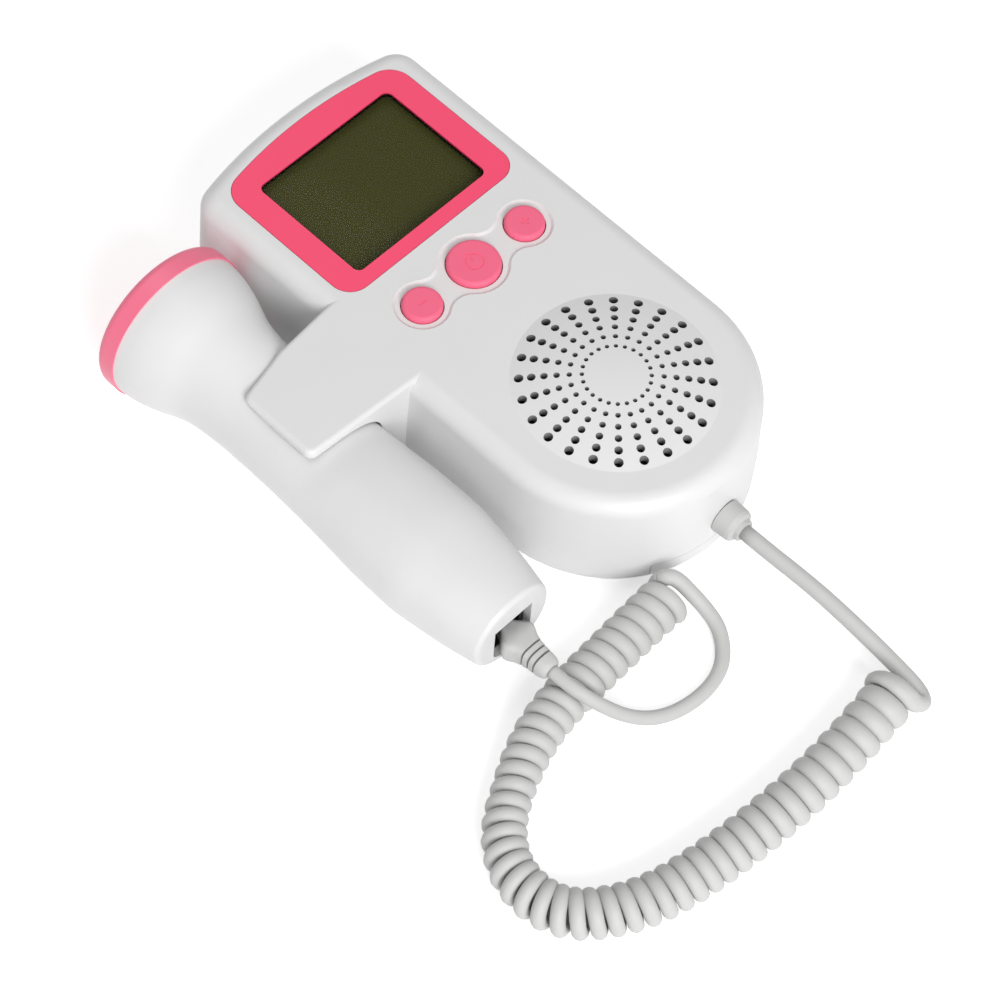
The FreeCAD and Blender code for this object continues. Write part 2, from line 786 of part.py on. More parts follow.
def make_unit_outside():
    """The two halves' outer blocks, with the holder arm on both."""
    front = outline_prism("front_block", parting_height, face_height, 0.0, taper=-draft_angle)
    fillet(front, front.Tip, edges_where(front.Tip, flat_at(face_height)), top_edge_radius)
    back = outline_prism("back_block", 0.0, parting_height, 0.0, taper=-draft_angle / 4.0,
                         down=True)
    fillet(back, back.Tip, edges_where(back.Tip, flat_at(0.0)), base_edge_radius)
    DOC.recompute()
    space = feature("holder_room", holder_space())
    arm = holder_outline("front_arm", parting_height, face_height, True)
    front_arm = cut("front_arm_arched", arm, [space])
    root = holder_outline("back_arm", base_edge_radius, parting_height, False)
    under = box("under_jaw", (holder_tip_x - 5.0, holder_wall_x - 1.5),
                (holder_bottom - 5.0, holder_top + 5.0), (-1.0, jaw_bottom))
    beyond = box("beyond_jaw", (holder_tip_x - 5.0, jaw_tip_x),
                 (holder_bottom - 5.0, holder_top + 5.0), (-1.0, parting_height + 1.0))
    space_again = feature("holder_room_below", holder_space())
    back_arm = cut("back_arm_jaw", root, [under, beyond, space_again])
    dome = dome_solid("dome", 0.0, face_height - 0.5)
    return fuse("front_outside", [front, front_arm, dome]), fuse("back_outside", [back, back_arm])


def make_grille_holes():
    """One spoke of holes, repeated around the speaker's axis."""
    owner = body("grille_holes")
    drawing = sketch(owner, "grille_spoke", "XY_Plane", ceiling - 1.0)
    for ring in range(6):
        radius = first_hole_radius + hole_radius_step * ring
        circle(drawing, 0.0, first_hole_ring + hole_ring_step * ring, radius)
    spoke = pad(owner, drawing, wall + dome_rise + 3.0)
    DOC.recompute()
    polar(owner, spoke, grille_spokes)
    return owner


def surround_outline(owner, name, height):
    """Three circles in a row, joined by arcs that touch both neighbours."""
    drawing = sketch(owner, name, "XY_Plane", height)
    middle, side = surround_power_radius.value, surround_side_radius.value
    blend, reach, row = surround_blend_radius.value, button_spacing.value, button_row_y.value
    # A joining arc's centre is one radius away from both circles.
    x = ((middle + blend) ** 2 - (side + blend) ** 2 + reach ** 2) / (2.0 * reach)
    y = math.sqrt((middle + blend) ** 2 - x ** 2)
    inner = math.degrees(math.atan2(y, x))
    outer = math.degrees(math.atan2(y, reach - x))
    arcs = [((reach, row, side), outer - 180, 180 - outer),
            ((x, row + y, blend), 180 + inner, 360 - outer),
            ((0, row, middle), inner, 180 - inner),
            ((-x, row + y, blend), 180 + outer, 360 - inner),
            ((-reach, row, side), outer, 360 - outer),
            ((-x, row - y, blend), inner, 180 - outer),
            ((0, row, middle), 180 + inner, 360 - inner),
            ((x, row - y, blend), outer, 180 - inner)]
    for arc in arcs:
        drawing.addGeometry(arc_between(*arc))
    # Joining arcs run against the circles, so they meet end to end and start to start.
    for number in range(8):
        corner = 2 if number % 2 == 0 else 1
        following = (number + 1) % 8
        drawing.addConstraint(
            Sketcher.Constraint("Tangent", number, corner, following, corner))
    for number, x, radius in ((0, button_spacing, surround_side_radius),
                              (2, 0.0, surround_power_radius),
                              (4, -button_spacing, surround_side_radius),
                              (6, 0.0, surround_power_radius)):
        fix_point(drawing, number, 3, x, button_row_y)
        fix_radius(drawing, number, radius)
    for number in (1, 3, 5, 7):
        fix_radius(drawing, number, surround_blend_radius)
    return drawing


def make_surround():
    """The shallow recess round the three buttons, with sloping sides, as its cutter."""
    owner = body("surround")
    drawing = surround_outline(owner, "surround_outline", face_height - surround_depth)
    pad(owner, drawing, surround_depth + 0.3, taper=surround_slope)
    DOC.recompute()
    return owner


def make_front_shell():
    """The front half: face, side walls, holder arm, grille and inner ribs."""
    outside = front_outside
    hollow = outline_prism("front_hollow", parting_height - 1.0, ceiling, wall)
    fillet(hollow, hollow.Tip, edges_where(hollow.Tip, flat_at(ceiling)),
           top_edge_radius - wall * 0.65)
    inner_dome = dome_solid("inner_dome", wall, ceiling - 1.0, lap=-1.2)
    bezel_seat = body("bezel_seat")
    drawing = window_outline(bezel_seat, "bezel_seat_outline", window_top,
                             window_side + bezel_margin_side + clearance,
                             window_bottom - bezel_margin_bottom - clearance,
                             (bezel_corner + clearance, bezel_top_corner + clearance),
                             bezel_inset - clearance)
    pad(bezel_seat, drawing, bezel_depth + 2.0)
    opening = box("display_opening",
                  (-window_side - bezel_lap - clearance, window_side + bezel_lap + clearance),
                  (window_bottom - bezel_lap - clearance, window_end + bezel_lap + clearance),
                  (ceiling - 2.0, face_height + 1.0))
    holes = [cylinder("button_hole", radius + button_gap, wall + 4.0, x, button_row_y,
                      ceiling - 1.0) for radius, x in button_places()]
    gland_hole = turn(cylinder("front_gland_hole", gland_neck_radius + 0.1, wall + 6.0,
                               gland_x, -end_radius + wall + 2.0, parting_height),
                      Vector(1, 0, 0), 90)
    skin = cut("front_skin", outside, [hollow, inner_dome, bezel_seat, opening, make_surround(),
                                       make_grille_holes(), gland_hole] + holes)
    bosses = [cylinder("front_boss", boss_radius, ceiling - parting_height + 0.3, x, y,
                       parting_height) for x, y in shell_screw_places()]
    posts = [cylinder("board_post", post_radius, ceiling - board_face + 0.3, x, y, board_face)
             for x, y in both_sides(post_places)]
    ring = cut("speaker_ring",
               cylinder("ring_outer", speaker_radius + 1.5, 5.3, z=ceiling - 5.0),
               [cylinder("ring_inner", speaker_radius + 0.3, 7.3, z=ceiling - 6.0)])
    ribbed = fuse("front_ribbed", [skin, ring] + bosses + posts)
    bores = [cylinder("front_bore", screw_radius + 0.1, 10.0, x, y, parting_height - 1.0)
             for x, y in shell_screw_places()]
    bores += [cylinder("post_bore", board_screw_radius + 0.1, 4.6, x, y, board_face - 0.5)
              for x, y in both_sides(post_places)]
    return label(cut("front_shell", ribbed, bores), "front_shell")


def make_back_shell():
    """The back half: walls, battery bay, screw bosses and the lower jaw."""
    floor_top = cover_thickness + clearance
    hollow = outline_prism("back_hollow", floor_top, parting_height + 1.0, wall)
    cover_hole = box("cover_hole", (-cover_half_width - clearance, cover_half_width + clearance),
                     (-end_radius - 5.0, cover_top + clearance), (-1.0, floor_top))
    lip_hole = box("lip_hole", (-cover_half_width - clearance, cover_half_width + clearance),
                   (-end_radius - 5.0, lip_hole_y), (-1.0, cover_lip_height + clearance))
    skin = cut("back_skin", back_outside, [hollow])
    bay_block = box("bay_block", (-cover_half_width - 2.3, cover_half_width + 2.3),
                    (bay_bottom - bay_wall, bay_top + bay_end_wall),
                    (1.0, bay_ceiling + bay_wall))
    bay_limit = outline_prism("bay_limit", -1.0, bay_ceiling + bay_wall + 1.0, wall + 0.25)
    bay = common("bay", bay_block, bay_limit)
    low_bosses = [cylinder("back_boss_foot", boss_radius + 0.9, 5.0, x, y, 0.6)
                  for x, y in shell_screw_places()]
    bosses = [cylinder("back_boss", boss_radius, parting_height - 0.6, x, y, 0.6)
              for x, y in shell_screw_places()]
    walled = fuse("back_walled", [skin, bay] + low_bosses + bosses)
    inside = box("bay_inside", (-bay_side, bay_side), (bay_bottom, bay_top), (-1.0, bay_ceiling))
    heads = [cylinder("head_hole", screw_head_radius + 0.2, screw_head_depth + 2.2, x, y, -0.2)
             for x, y in shell_screw_places()]
    bores = [cylinder("back_bore", screw_radius + 0.1, parting_height + 2.0, x, y, 0.0)
             for x, y in shell_screw_places()]
    gland_hole = turn(cylinder("back_gland_hole", gland_neck_radius + 0.1, wall + 6.0,
                               gland_x, -end_radius + wall + 2.0, parting_height),
                      Vector(1, 0, 0), 90)
    tools = [inside, cover_hole, lip_hole, gland_hole] + heads + bores
    return label(cut("back_shell", walled, tools), "back_shell")


def make_battery_cover():
    """The cover over the cells, which wraps up the round end in a short lip."""
    slab = box("cover_slab", (-cover_half_width, cover_half_width),
               (-end_radius - 5.0, cover_top), (-1.0, cover_lip_height))
    inner = outline_prism("cover_inside", cover_thickness, parting_height, wall)
    behind_lip = box("behind_lip", (-cover_half_width - 1.0, cover_half_width + 1.0),
                     (lip_hole_y - clearance, cover_top + 1.0),
                     (cover_thickness, parting_height))
    whole = common("cover_whole", outline_prism_back(), slab)
    return label(cut("battery_cover", whole, [inner, behind_lip]), "battery_cover")


def outline_prism_back():
    """The back half's outer block again, for the cover to share its skin."""
    back = outline_prism("cover_block", 0.0, parting_height, 0.0, taper=-draft_angle / 4.0,
                         down=True)
    fillet(back, back.Tip, edges_where(back.Tip, flat_at(0.0)), base_edge_radius)
    DOC.recompute()
    return back


# ---- display, buttons and the parts behind them -------------------------

bezel_inset = body_top - window_end - bezel_margin_top


def make_bezel():
    """The coloured frame that lies flush in the face."""
    owner = body("display_bezel")
    drawing = window_outline(owner, "bezel_outline", window_top,
                             window_side + bezel_margin_side,
                             window_bottom - bezel_margin_bottom,
                             (bezel_corner, bezel_top_corner), bezel_inset)
    frame = pad(owner, drawing, bezel_depth)
    opening = sketch(owner, "bezel_opening", "XY_Plane", face_height)
    rounded_box(opening, -window_side, window_bottom, window_side, window_end, window_corner)
    DOC.recompute()
    pocket(owner, opening, bezel_depth + 1.0)
    return label(owner, "display_bezel")


def make_window():
    """The clear plate under the bezel, with a step that fills the bezel's opening."""
    owner = body("display_window")
    plate = sketch(owner, "window_plate", "XY_Plane", window_under)
    side, low, high = window_side + bezel_lap, window_bottom - bezel_lap, window_end + bezel_lap
    rounded_box(plate, -side, low, side, high, 1.0)
    pad(owner, plate, window_thickness, "Plate")
    step = sketch(owner, "window_step", "XY_Plane", window_under)
    side = window_side - clearance
    rounded_box(step, -side, window_bottom + clearance, side, window_end - clearance,
                window_corner - clearance)
    pad(owner, step, face_height - window_drop - window_under, "Step")
    DOC.recompute()
    return label(owner, "display_window")


def make_display():
    """The liquid-crystal glass, its light guide and the frame that holds both."""
    side = board_half_width
    low, high = window_bottom - bezel_lap - 0.9, window_end + bezel_lap + 0.9
    glass = box("lcd_glass", (-side + 0.9, side - 0.9), (low + 0.9, high - 0.9),
                (glass_under, glass_top))
    frame_top = lesser(glass_top - 0.3, ceiling - 0.2)
    frame = box("frame_block", (-side, side), (low, high), (board_face, frame_top))
    seat = box("glass_seat", (-side + 0.8, side - 0.8), (low + 0.8, high - 0.8),
               (glass_under, glass_top + 1.0))
    well = box("light_well", (-side + 3.0, side - 3.0), (low + 3.0, high - 3.0),
               (board_face + 1.0, glass_under + 1.0))
    guide = box("light_guide", (-side + 3.2, side - 3.2), (low + 3.2, high - 3.2),
                (board_face + 1.0, glass_under - 0.3))
    return glass, label(cut("lcd_frame", frame, [seat, well]), "lcd_frame"), guide


def button_places():
    """Radius and X of the left, middle and right button."""
    return ((side_radius, -button_spacing), (power_radius, as_size(0.0)),
            (side_radius, button_spacing))


def make_button(name, radius, x, mark):
    """A round cap with a flange under the shell and a shallow mark on top."""
    top = face_height + button_rise
    owner = body(f"{name}_cap")
    flange = sketch(owner, f"{name}_flange", "XY_Plane", button_bottom)
    circle(flange, x, button_row_y, radius + button_flange)
    pad(owner, flange, flange_thickness, "Flange")
    stem = sketch(owner, f"{name}_stem", "XY_Plane", button_bottom)
    circle(stem, x, button_row_y, radius)
    raised = pad(owner, stem, top - button_bottom, "Stem")
    DOC.recompute()
    fillet(owner, raised, edges_where(raised, flat_at(top)), button_rise * 0.9)
    DOC.recompute()
    return label(cut(name, owner, mark(x, top - mark_depth)), name)


def power_mark(x, low):
    """A broken ring with a bar in its gap."""
    ring = cut("power_ring", cylinder("ring_rim", 2.3, 1.0, x, button_row_y, low),
               [cylinder("ring_hole", 1.8, 1.4, x, button_row_y, low - 0.2),
                box("ring_gap", (-0.75, 0.75), (button_row_y, button_row_y + 3.0),
                    (low - 0.2, low + 1.2))])
    bar = box("power_bar", (-0.28, 0.28), (button_row_y + 0.5, button_row_y + 2.7),
              (low, low + 1.0))
    return [ring, bar]


def bar_mark(x, low, half_length, half_width):
    """One straight stroke."""
    return box("stroke", (x - half_length, x + half_length),
               (button_row_y - half_width, button_row_y + half_width), (low, low + 1.0))


def minus_mark(x, low):
    """A minus sign."""
    return [bar_mark(x, low, 1.1, 0.25)]


def plus_mark(x, low):
    """A plus sign."""
    return [bar_mark(x, low, 1.1, 0.25), bar_mark(x, low, 0.25, 1.1)]


def make_button_pad():
    """The silicone sheet between the buttons and their switches."""
    y_low, y_high = button_row_y - 5.3, button_row_y + 6.7
    sheet = box("pad_sheet", (-board_half_width + 0.3, board_half_width - 0.3), (y_low, y_high),
                (switch_top, switch_top + pad_plate))
    legs = [box("pad_leg", x_range, (y_low, y_high), (board_face, switch_top + 0.2))
            for x_range in ((-board_half_width + 0.3, -board_half_width + 1.8),
                            (board_half_width - 1.8, board_half_width - 0.3))]
    bump_top = button_bottom - button_travel - 0.1
    bumps = [cylinder("pad_bump", 2.6, bump_top - switch_top, x, button_row_y, switch_top)
             for radius, x in button_places()]
    return label(fuse("button_pad", [sheet] + legs + bumps), "button_pad")


def make_board():
    """The main circuit board, with a hole for each of its screws."""
    owner = body("main_board")
    outline = sketch(owner, "board_outline", "XY_Plane", board_height)
    rounded_box(outline, -board_half_width, board_bottom, board_half_width, board_top, 1.5)
    pad(owner, outline, board_thickness)
    DOC.recompute()
    holes = sketch(owner, "board_holes", "XY_Plane", board_face)
    for x, y in both_sides(post_places):
        circle(holes, x, y, board_screw_radius + 0.15)
    pocket(owner, holes, board_thickness + 1.0)
    return label(owner, "main_board")


def make_switches():
    """Three low push switches in a row on the board."""
    pieces = []
    half = switch_width / 2.0
    for radius, x in button_places():
        pieces.append(box("switch", (x - half, x + half),
                          (button_row_y - half, button_row_y + half), (board_face, switch_top)))
    return label(group("push_switches", pieces), "push_switches")


def make_board_chips():
    """The board's controller, amplifier and two capacitors, on its back."""
    low = board_height
    chips = [box("controller", (-5.0, 5.0), (60.0, 70.0), (low - 1.6, low)),
             box("amplifier", (8.0, 13.0), (44.0, 48.0), (low - 1.5, low))]
    cans = [cylinder("capacitor", 2.5, 5.5, x, 78.0, low - 5.5) for x in (-9.0, 9.0)]
    return label(group("board_chips", chips + cans), "board_chips")


def make_speaker():
    """Cloth, frame, cone and magnet of the loudspeaker behind the grille."""
    cloth = cylinder("speaker_cloth", speaker_radius + 0.2, cloth_thickness,
                     z=ceiling - cloth_thickness)
    top = ceiling - cloth_thickness
    low = top - speaker_depth
    neck = magnet_radius - 1.5
    frame = turned("speaker_frame", [(speaker_radius - 2.0, top), (speaker_radius, top),
                                     (speaker_radius, top - 0.8),
                                     (speaker_radius - 2.4, top - 0.8),
                                     (magnet_radius + 1.0, low), (neck, low), (neck, low + 0.8),
                                     (magnet_radius + 0.8, low + 0.8),
                                     (speaker_radius - 2.6, top - 0.6)])
    cone_solid = turned("speaker_cone", [(0.0, low + 1.6), (neck - 1.0, low + 1.6),
                                         (speaker_radius - 2.3, top - 0.3),
                                         (speaker_radius - 2.3, top),
                                         (neck - 1.0, low + 2.1), (0.0, low + 2.9)])
    magnet = cut("speaker_magnet", cylinder("magnet_disc", magnet_radius, magnet_height,
                                            z=low - magnet_height),
                 [cylinder("magnet_chamfer", 1.5, 1.0, z=low - magnet_height - 0.5)])
    for thing, name in ((cloth, "speaker_cloth"), (frame, "speaker_frame"),
                        (cone_solid, "speaker_cone"), (magnet, "speaker_magnet")):
        label(thing, name)
    return cloth, frame, cone_solid, magnet


# ---- battery bay --------------------------------------------------------

def cell_x(number):
    """X of the first or second cell."""
    return cell_spacing * (number - 0.5)


def make_cell(number):
    """A battery cell with its raised terminal, towards +Y in the first cell."""
    name = f"battery_cell_{number + 1}"
    length = cell_length - 1.0
    start = bay_bottom + contact_room
    near = start + cell_length if number else start
    can = turned(f"{name}_can", [(0.0, 0.0), (cell_radius, 0.0), (cell_radius, length),
                                 (2.7, length), (2.7, cell_length), (0.0, cell_length)],
                 cell_x(number), near, cell_height, lying=True)
    if number:
        turn(can, Vector(0, 0, 1), 180)
    return label(can, name)


def make_contacts():
    """Flat contacts for the raised terminals, and springs for the others."""
    plates = []
    springs = []
    for number in (0, 1):
        raised_at_top = number == 0
        for at_top in (True, False):
            wall_y = bay_top if at_top else bay_bottom
            inward = -1.0 if at_top else 1.0
            reach = contact_room if at_top == raised_at_top else contact_thickness
            depth = reach - 0.05 if at_top == raised_at_top else reach
            y_pair = sorted((wall_y, wall_y + inward * depth), key=lambda y: y.value)
            x = cell_x(number)
            if at_top == raised_at_top:
                plates.append(box("contact_plate", (x - 3.5, x + 3.5), y_pair,
                                  (cell_height - 4.0, cell_height + 4.0)))
            else:
                back = box("spring_plate", (x - 4.5, x + 4.5), y_pair,
                           (cell_height - 4.5, cell_height + 4.5))
                coils = []
                for ring in range(4):
                    coil = DOC.addObject("Part::Torus", "spring_ring")
                    bind(coil, "Radius1", 4.0 - 0.3 * ring)
                    bind(coil, "Radius2", 0.36)
                    away = contact_thickness + 0.3 + 0.6 * ring
                    place(coil, x, wall_y + inward * away, cell_height)
                    coils.append(turn(coil, Vector(1, 0, 0), 90))
                springs.append(fuse("spring", [back] + coils))
    return (label(group("contact_plates", plates), "contact_plates"),
            label(group("contact_springs", springs), "contact_springs"))


# ---- fasteners ----------------------------------------------------------

def screw(name, radius, head_radius, head_depth, length, x, y, z):
    """A pan-head screw that points up, with a cross slot."""
    head = cylinder(f"{name}_head", head_radius, head_depth, x, y, z - head_depth)
    shank = cylinder(f"{name}_shank", radius, length, x, y, z - 0.1)
    slots = [box(f"{name}_slot", (x - a, x + a), (y - b, y + b),
                 (z - head_depth - 0.5, z - head_depth * 0.5))
             for a, b in ((head_radius * 0.7, 0.3), (as_size(0.3), head_radius * 0.7))]
    return cut(name, fuse(f"{name}_blank", [head, shank]), slots)


def make_screws():
    """The shell screws and the board screws."""
    seat = screw_head_depth + 2.0
    shell = [screw("shell_screw", screw_radius, screw_head_radius, screw_head_depth,
                   parting_height + 5.0, as_size(x), as_size(y), seat)
             for x, y in shell_screw_places()]
    board = [screw("board_screw", board_screw_radius, as_size(1.7), as_size(1.1), 5.0,
                   as_size(x), as_size(y), board_height)
             for x, y in both_sides(post_places)]
    return (label(group("shell_screws", shell), "shell_screws"),
            label(group("board_screws", board), "board_screws"))


# ---- cord ---------------------------------------------------------------

# The route is chosen by hand, as points that the cord bends round. The lead
# begins at the gland's tip and the loop at the boot's tip.
LEAD_ROUTE = ((1.4, -45.2, 13.0), (1.9, -52.6, 12.5), (2.7, -61.0, 11.2), (3.2, -69.4, 9.4),
              (3.8, -77.4, 7.1), (4.2, -84.0, 4.9), (4.2, -88.9, 3.7), (2.9, -92.3, 3.7),
              (0.9, -93.0, 5.0), (-0.9, -91.6, 7.2), (-2.7, -89.6, 8.6))
COIL_ROUTE = ((-1.4, -87.2, 6.2), (-10.4, -88.1, 5.9), (-20.5, -88.9, 5.6), (-31.2, -89.3, 5.4),
              (-40.6, -89.0, 5.2), (-49.6, -88.5, 5.2), (-57.8, -87.6, 5.2), (-65.4, -86.5, 5.2),
              (-72.6, -84.9, 5.2), (-79.4, -82.3, 5.2), (-85.3, -78.7, 5.2), (-89.6, -74.6, 5.2),
              (-91.9, -69.8, 5.2), (-92.3, -64.2, 5.2), (-91.1, -58.7, 5.2), (-88.1, -53.8, 5.2),
              (-83.7, -49.6, 5.2), (-77.9, -46.2, 5.2), (-72.3, -43.4, 5.2), (-67.1, -41.3, 5.2),
              (-61.5, -39.7, 5.2), (-54.5, -38.6, 5.2), (-46.8, -38.0, 5.2), (-38.4, -37.7, 5.2),
              (-30.8, -37.3, 5.2), (-24.0, -37.1, 5.2), (-19.4, -36.9, 5.2))
LOOP_ROUTE = ((-54.3, -38.6, 13.4), (-53.3, -42.6, 12.4), (-50.9, -46.6, 9.4),
              (-47.4, -50.2, 5.4), (-43.0, -53.4, 2.5), (-38.3, -55.7, 1.7),
              (-33.0, -57.0, 1.7), (-27.3, -57.1, 1.7), (-21.9, -55.6, 1.7),
              (-17.9, -52.4, 1.9), (-15.2, -48.3, 2.8), (-14.0, -43.8, 4.4),
              (-14.2, -40.2, 6.4), (-16.0, -37.0, 8.6))


def route_wire(name, points):
    """Straight runs joined by arcs as large as the runs allow."""
    points = [Vector(*point) for point in points]
    edges = []
    radii = []
    here = points[0]
    for before, corner, after in zip(points, points[1:], points[2:]):
        arriving, leaving = (corner - before), (after - corner)
        reach = 0.45 * min(arriving.Length, leaving.Length)
        half_turn = arriving.getAngle(leaving) / 2.0
        arriving.normalize()
        leaving.normalize()
        radius = reach / math.tan(half_turn)
        inward = (leaving - arriving).normalize()
        start, end = corner - arriving * reach, corner + leaving * reach
        middle = corner + inward * (radius / math.cos(half_turn) - radius)
        edges.append(Part.LineSegment(here, start).toShape())
        edges.append(Part.Arc(start, middle, end).toShape())
        radii.append(radius)
        here = end
    edges.append(Part.LineSegment(here, points[-1]).toShape())
    print(name, "bend radii:", " ".join(f"{radius:.0f}" for radius in radii))
    return Part.Wire(edges)


def make_tube(name, points, radius):
    """A plain tube along a route, checked against its section and length."""
    path = route_wire(name, points)
    start = Vector(*points[0])
    along = Vector(*points[1]) - start
    section = Part.Wire(Part.Circle(start, along, radius.value).toShape())
    solid = path.makePipeShell([section], True, False)
    expected = math.pi * radius.value ** 2 * path.Length
    print(f"{name} length {path.Length:.1f}, volume {solid.Volume:.0f} of {expected:.0f}")
    if abs(solid.Volume / expected - 1.0) > 0.01:
        FAULTS.append(f"{name}: its volume isn't section times length")
    return label(feature(name, solid), name)


def make_cord():
    """The lead from the unit, the coil and the loop to the plug."""
    gland_tip = (gland_x.value, (-end_radius - 0.05 - gland_length - 1.0).value,
                 parting_height.value)
    boot_tip = (probe_x.value, (plug_rear - boot_length).value, plug_center_height.value)
    return (make_tube("cord_lead", (gland_tip,) + LEAD_ROUTE, lead_radius),
            make_tube("cord_coil", COIL_ROUTE, coil_radius),
            make_tube("cord_loop", (boot_tip,) + LOOP_ROUTE, loop_radius))


def make_gland():
    """The strain relief, held in the round end wall by its inner collar."""
    wall_y = -end_radius
    inside = wall_y + wall + 0.6
    tip = wall_y - 0.05 - gland_length
    profile = [(0.0, inside + 1.2), (gland_radius, inside + 1.2), (gland_radius, inside),
               (gland_neck_radius, inside), (gland_neck_radius, wall_y - 0.05),
               (gland_radius, wall_y - 0.05), (gland_radius - 0.1, tip + 1.3),
               (gland_radius - 0.4, tip + 0.5), (gland_tip_radius - 0.6, tip),
               (lead_radius + 0.9, tip), (lead_radius + 0.8, tip - 1.0), (0.0, tip - 1.0)]
    return label(turned("cable_gland", profile, gland_x, 0.0, parting_height, lying=True),
                 "cable_gland")


plug_rear = probe_end_y + plug_inset


def make_plug():
    """The plug, its sprung latch and its gold contacts."""
    near, far = plug_rear, plug_rear + plug_length
    low = plug_center_height - plug_height / 2.0
    high = plug_center_height + plug_height / 2.0
    block = box("plug_block", (probe_x - plug_width / 2.0, probe_x + plug_width / 2.0),
                (near, far), (low, high))
    latch = body("plug_latch")
    drawing = sketch(latch, "latch_profile", "YZ_Plane", probe_x - 1.6)
    polygon(drawing, [(far - 0.8, high - 0.3), (far - 2.2, high - 0.3), (near - 2.6, high + 1.1),
                      (near - 2.6, high + 1.9), (far - 2.0, high + 0.7),
                      (far - 0.8, high + 0.5)])
    pad(latch, drawing, 3.2)
    slots = [box("latch_slot", (probe_x - 0.9, probe_x + 0.9), (near - 1.8, near + 4.0),
                 (high + 0.1, high + 3.0))]
    blades = []
    for number in range(4):
        x = probe_x + 1.02 * (number - 1.5)
        slots.append(box("blade_slot", (x - 0.17, x + 0.17), (far - 6.0, far + 1.0),
                         (low - 1.0, low + 2.6)))
        blades.append(box("blade", (x - 0.15, x + 0.15), (far - 5.9, far - 0.3),
                          (low + 0.2, low + 2.6)))
    plug = cut("plug_body", fuse("plug_whole", [block, latch]), slots)
    return label(plug, "plug_body"), label(group("plug_contacts", blades), "plug_contacts")


def make_boot():
    """The soft sleeve behind the plug, with slots round its tapering end."""
    rear, length = plug_rear.value, boot_length.value
    wide, high = plug_width.value / 2.0 - 0.15, plug_height.value / 2.0
    tip = boot_tip_radius.value
    rows = [(0.0, wide, high, 4.0), (0.25, wide, high, 4.0), (0.50, wide - 0.1, high, 4.0),
            (0.58, wide - 0.5, high - 0.1, 3.6), (0.72, wide - 0.8, high - 0.3, 3.0),
            (0.90, tip + 0.3, tip + 0.2, 2.4), (0.97, tip, tip - 0.1, 2.1),
            (1.0, tip - 0.5, tip - 0.5, 2.0)]

    def ring(y, half_width, half_height, power):
        return oval_wire(y, half_width, half_height, power, height=plug_center_height)
    sleeve = Part.makeLoft([ring(rear - share * length, w, h, power)
                            for share, w, h, power in rows], True, False)
    slots = []
    for number in range(3):
        y = rear - length * (0.625 + 0.1 * number)
        half_width, half_height = wide - 1.4 - 0.25 * number, high - 1.1 - 0.2 * number
        slab = Part.makeBox(20.0, 0.55, 20.0, Vector(probe_x.value - 10.0, y,
                                                     plug_center_height.value - 10.0))
        core = Part.Face(ring(y - 1.0, half_width, half_height, 3.0)).extrude(Vector(0, 3, 0))
        slots.append(slab.cut(core))
    return label(feature("plug_boot", sleeve.cut(slots)), "plug_boot")


# ---- probe --------------------------------------------------------------

def lying_cylinder(name, radius, start, end):
    """A cylinder on the probe's axis between two values of Y."""
    thing = cylinder(name, radius, as_size(end) - start, probe_x, start, probe_height)
    return turn(thing, Vector(1, 0, 0), -90)


def socket_prism(name, spare, start, end):
    """The socket's outline, round at its lower corners, between two values of Y."""
    side = socket_width / 2.0 - spare
    low = socket_center_height - socket_height / 2.0 + spare
    high = socket_center_height + socket_height / 2.0 - spare
    owner = body(name)
    drawing = sketch(owner, f"{name}_outline", "XZ_Plane", -as_size(start))
    polygon(drawing, [(probe_x - side, low), (probe_x + side, low),
                      (probe_x + side, high), (probe_x - side, high)])
    block = pad(owner, drawing, as_size(end) - start, down=True)
    DOC.recompute()

    def lower(bounds):
        lengthwise = bounds.YLength > 1.0 and bounds.XLength < 0.01
        return lengthwise and abs(bounds.ZMin - low.value) + bounds.ZLength < 0.01
    fillet(owner, block, edges_where(block, lower), socket_corner - spare, "CornerFillet")
    DOC.recompute()
    return owner


def make_handle():
    """The hollow handle and bell, with posts for the probe's board."""
    skin = skin_through(probe_stations(0.0))
    rim = [edge for edge in skin.Edges
           if edge.BoundBox.YLength < 0.1 and edge.BoundBox.YMax < probe_end_y.value + 0.1]
    outer = feature("handle_outer", skin.makeFillet(handle_end_rounding.value, rim))
    inner = feature("handle_inner", handle_room())
    mouth = lying_cylinder("handle_mouth", head_radius - mouth_wall,
                           head_y - spigot_length - 0.2, head_y + 1.0)
    opening = socket_prism("socket_opening", 0.0, probe_end_y - 1.0,
                           probe_end_y + socket_recess + socket_depth + 0.2)
    hollow = cut("handle_hollow", outer, [inner, mouth, opening])
    posts = []
    for y, half_height in ((as_size(14.0), grip_half_height - 0.7), (neck_y, neck_half_height)):
        foot = probe_height - handle_drop_at(y) - half_height + 1.0
        posts.append(cylinder("probe_post", 1.6, probe_board_bottom - foot, probe_x, y, foot))
    return label(fuse("probe_handle", [hollow] + posts), "probe_handle")


def make_socket():
    """The jack behind the opening in the handle's end."""
    near = probe_end_y + socket_recess
    block = socket_prism("socket_block", 0.1, near, near + socket_depth)
    room = box("plug_room", (probe_x - plug_width / 2.0 - clearance,
                             probe_x + plug_width / 2.0 + clearance),
               (near - 1.0, plug_rear + plug_length + 0.6),
               (plug_center_height - plug_height / 2.0 - clearance,
                plug_center_height + plug_height / 2.0 + clearance))
    latch_room = box("latch_room", (probe_x - 2.0, probe_x + 2.0),
                     (near - 1.0, plug_rear + plug_length),
                     (plug_center_height, plug_center_height + plug_height / 2.0 + 2.4))
    return label(cut("probe_socket", block, [room, latch_room]), "probe_socket")


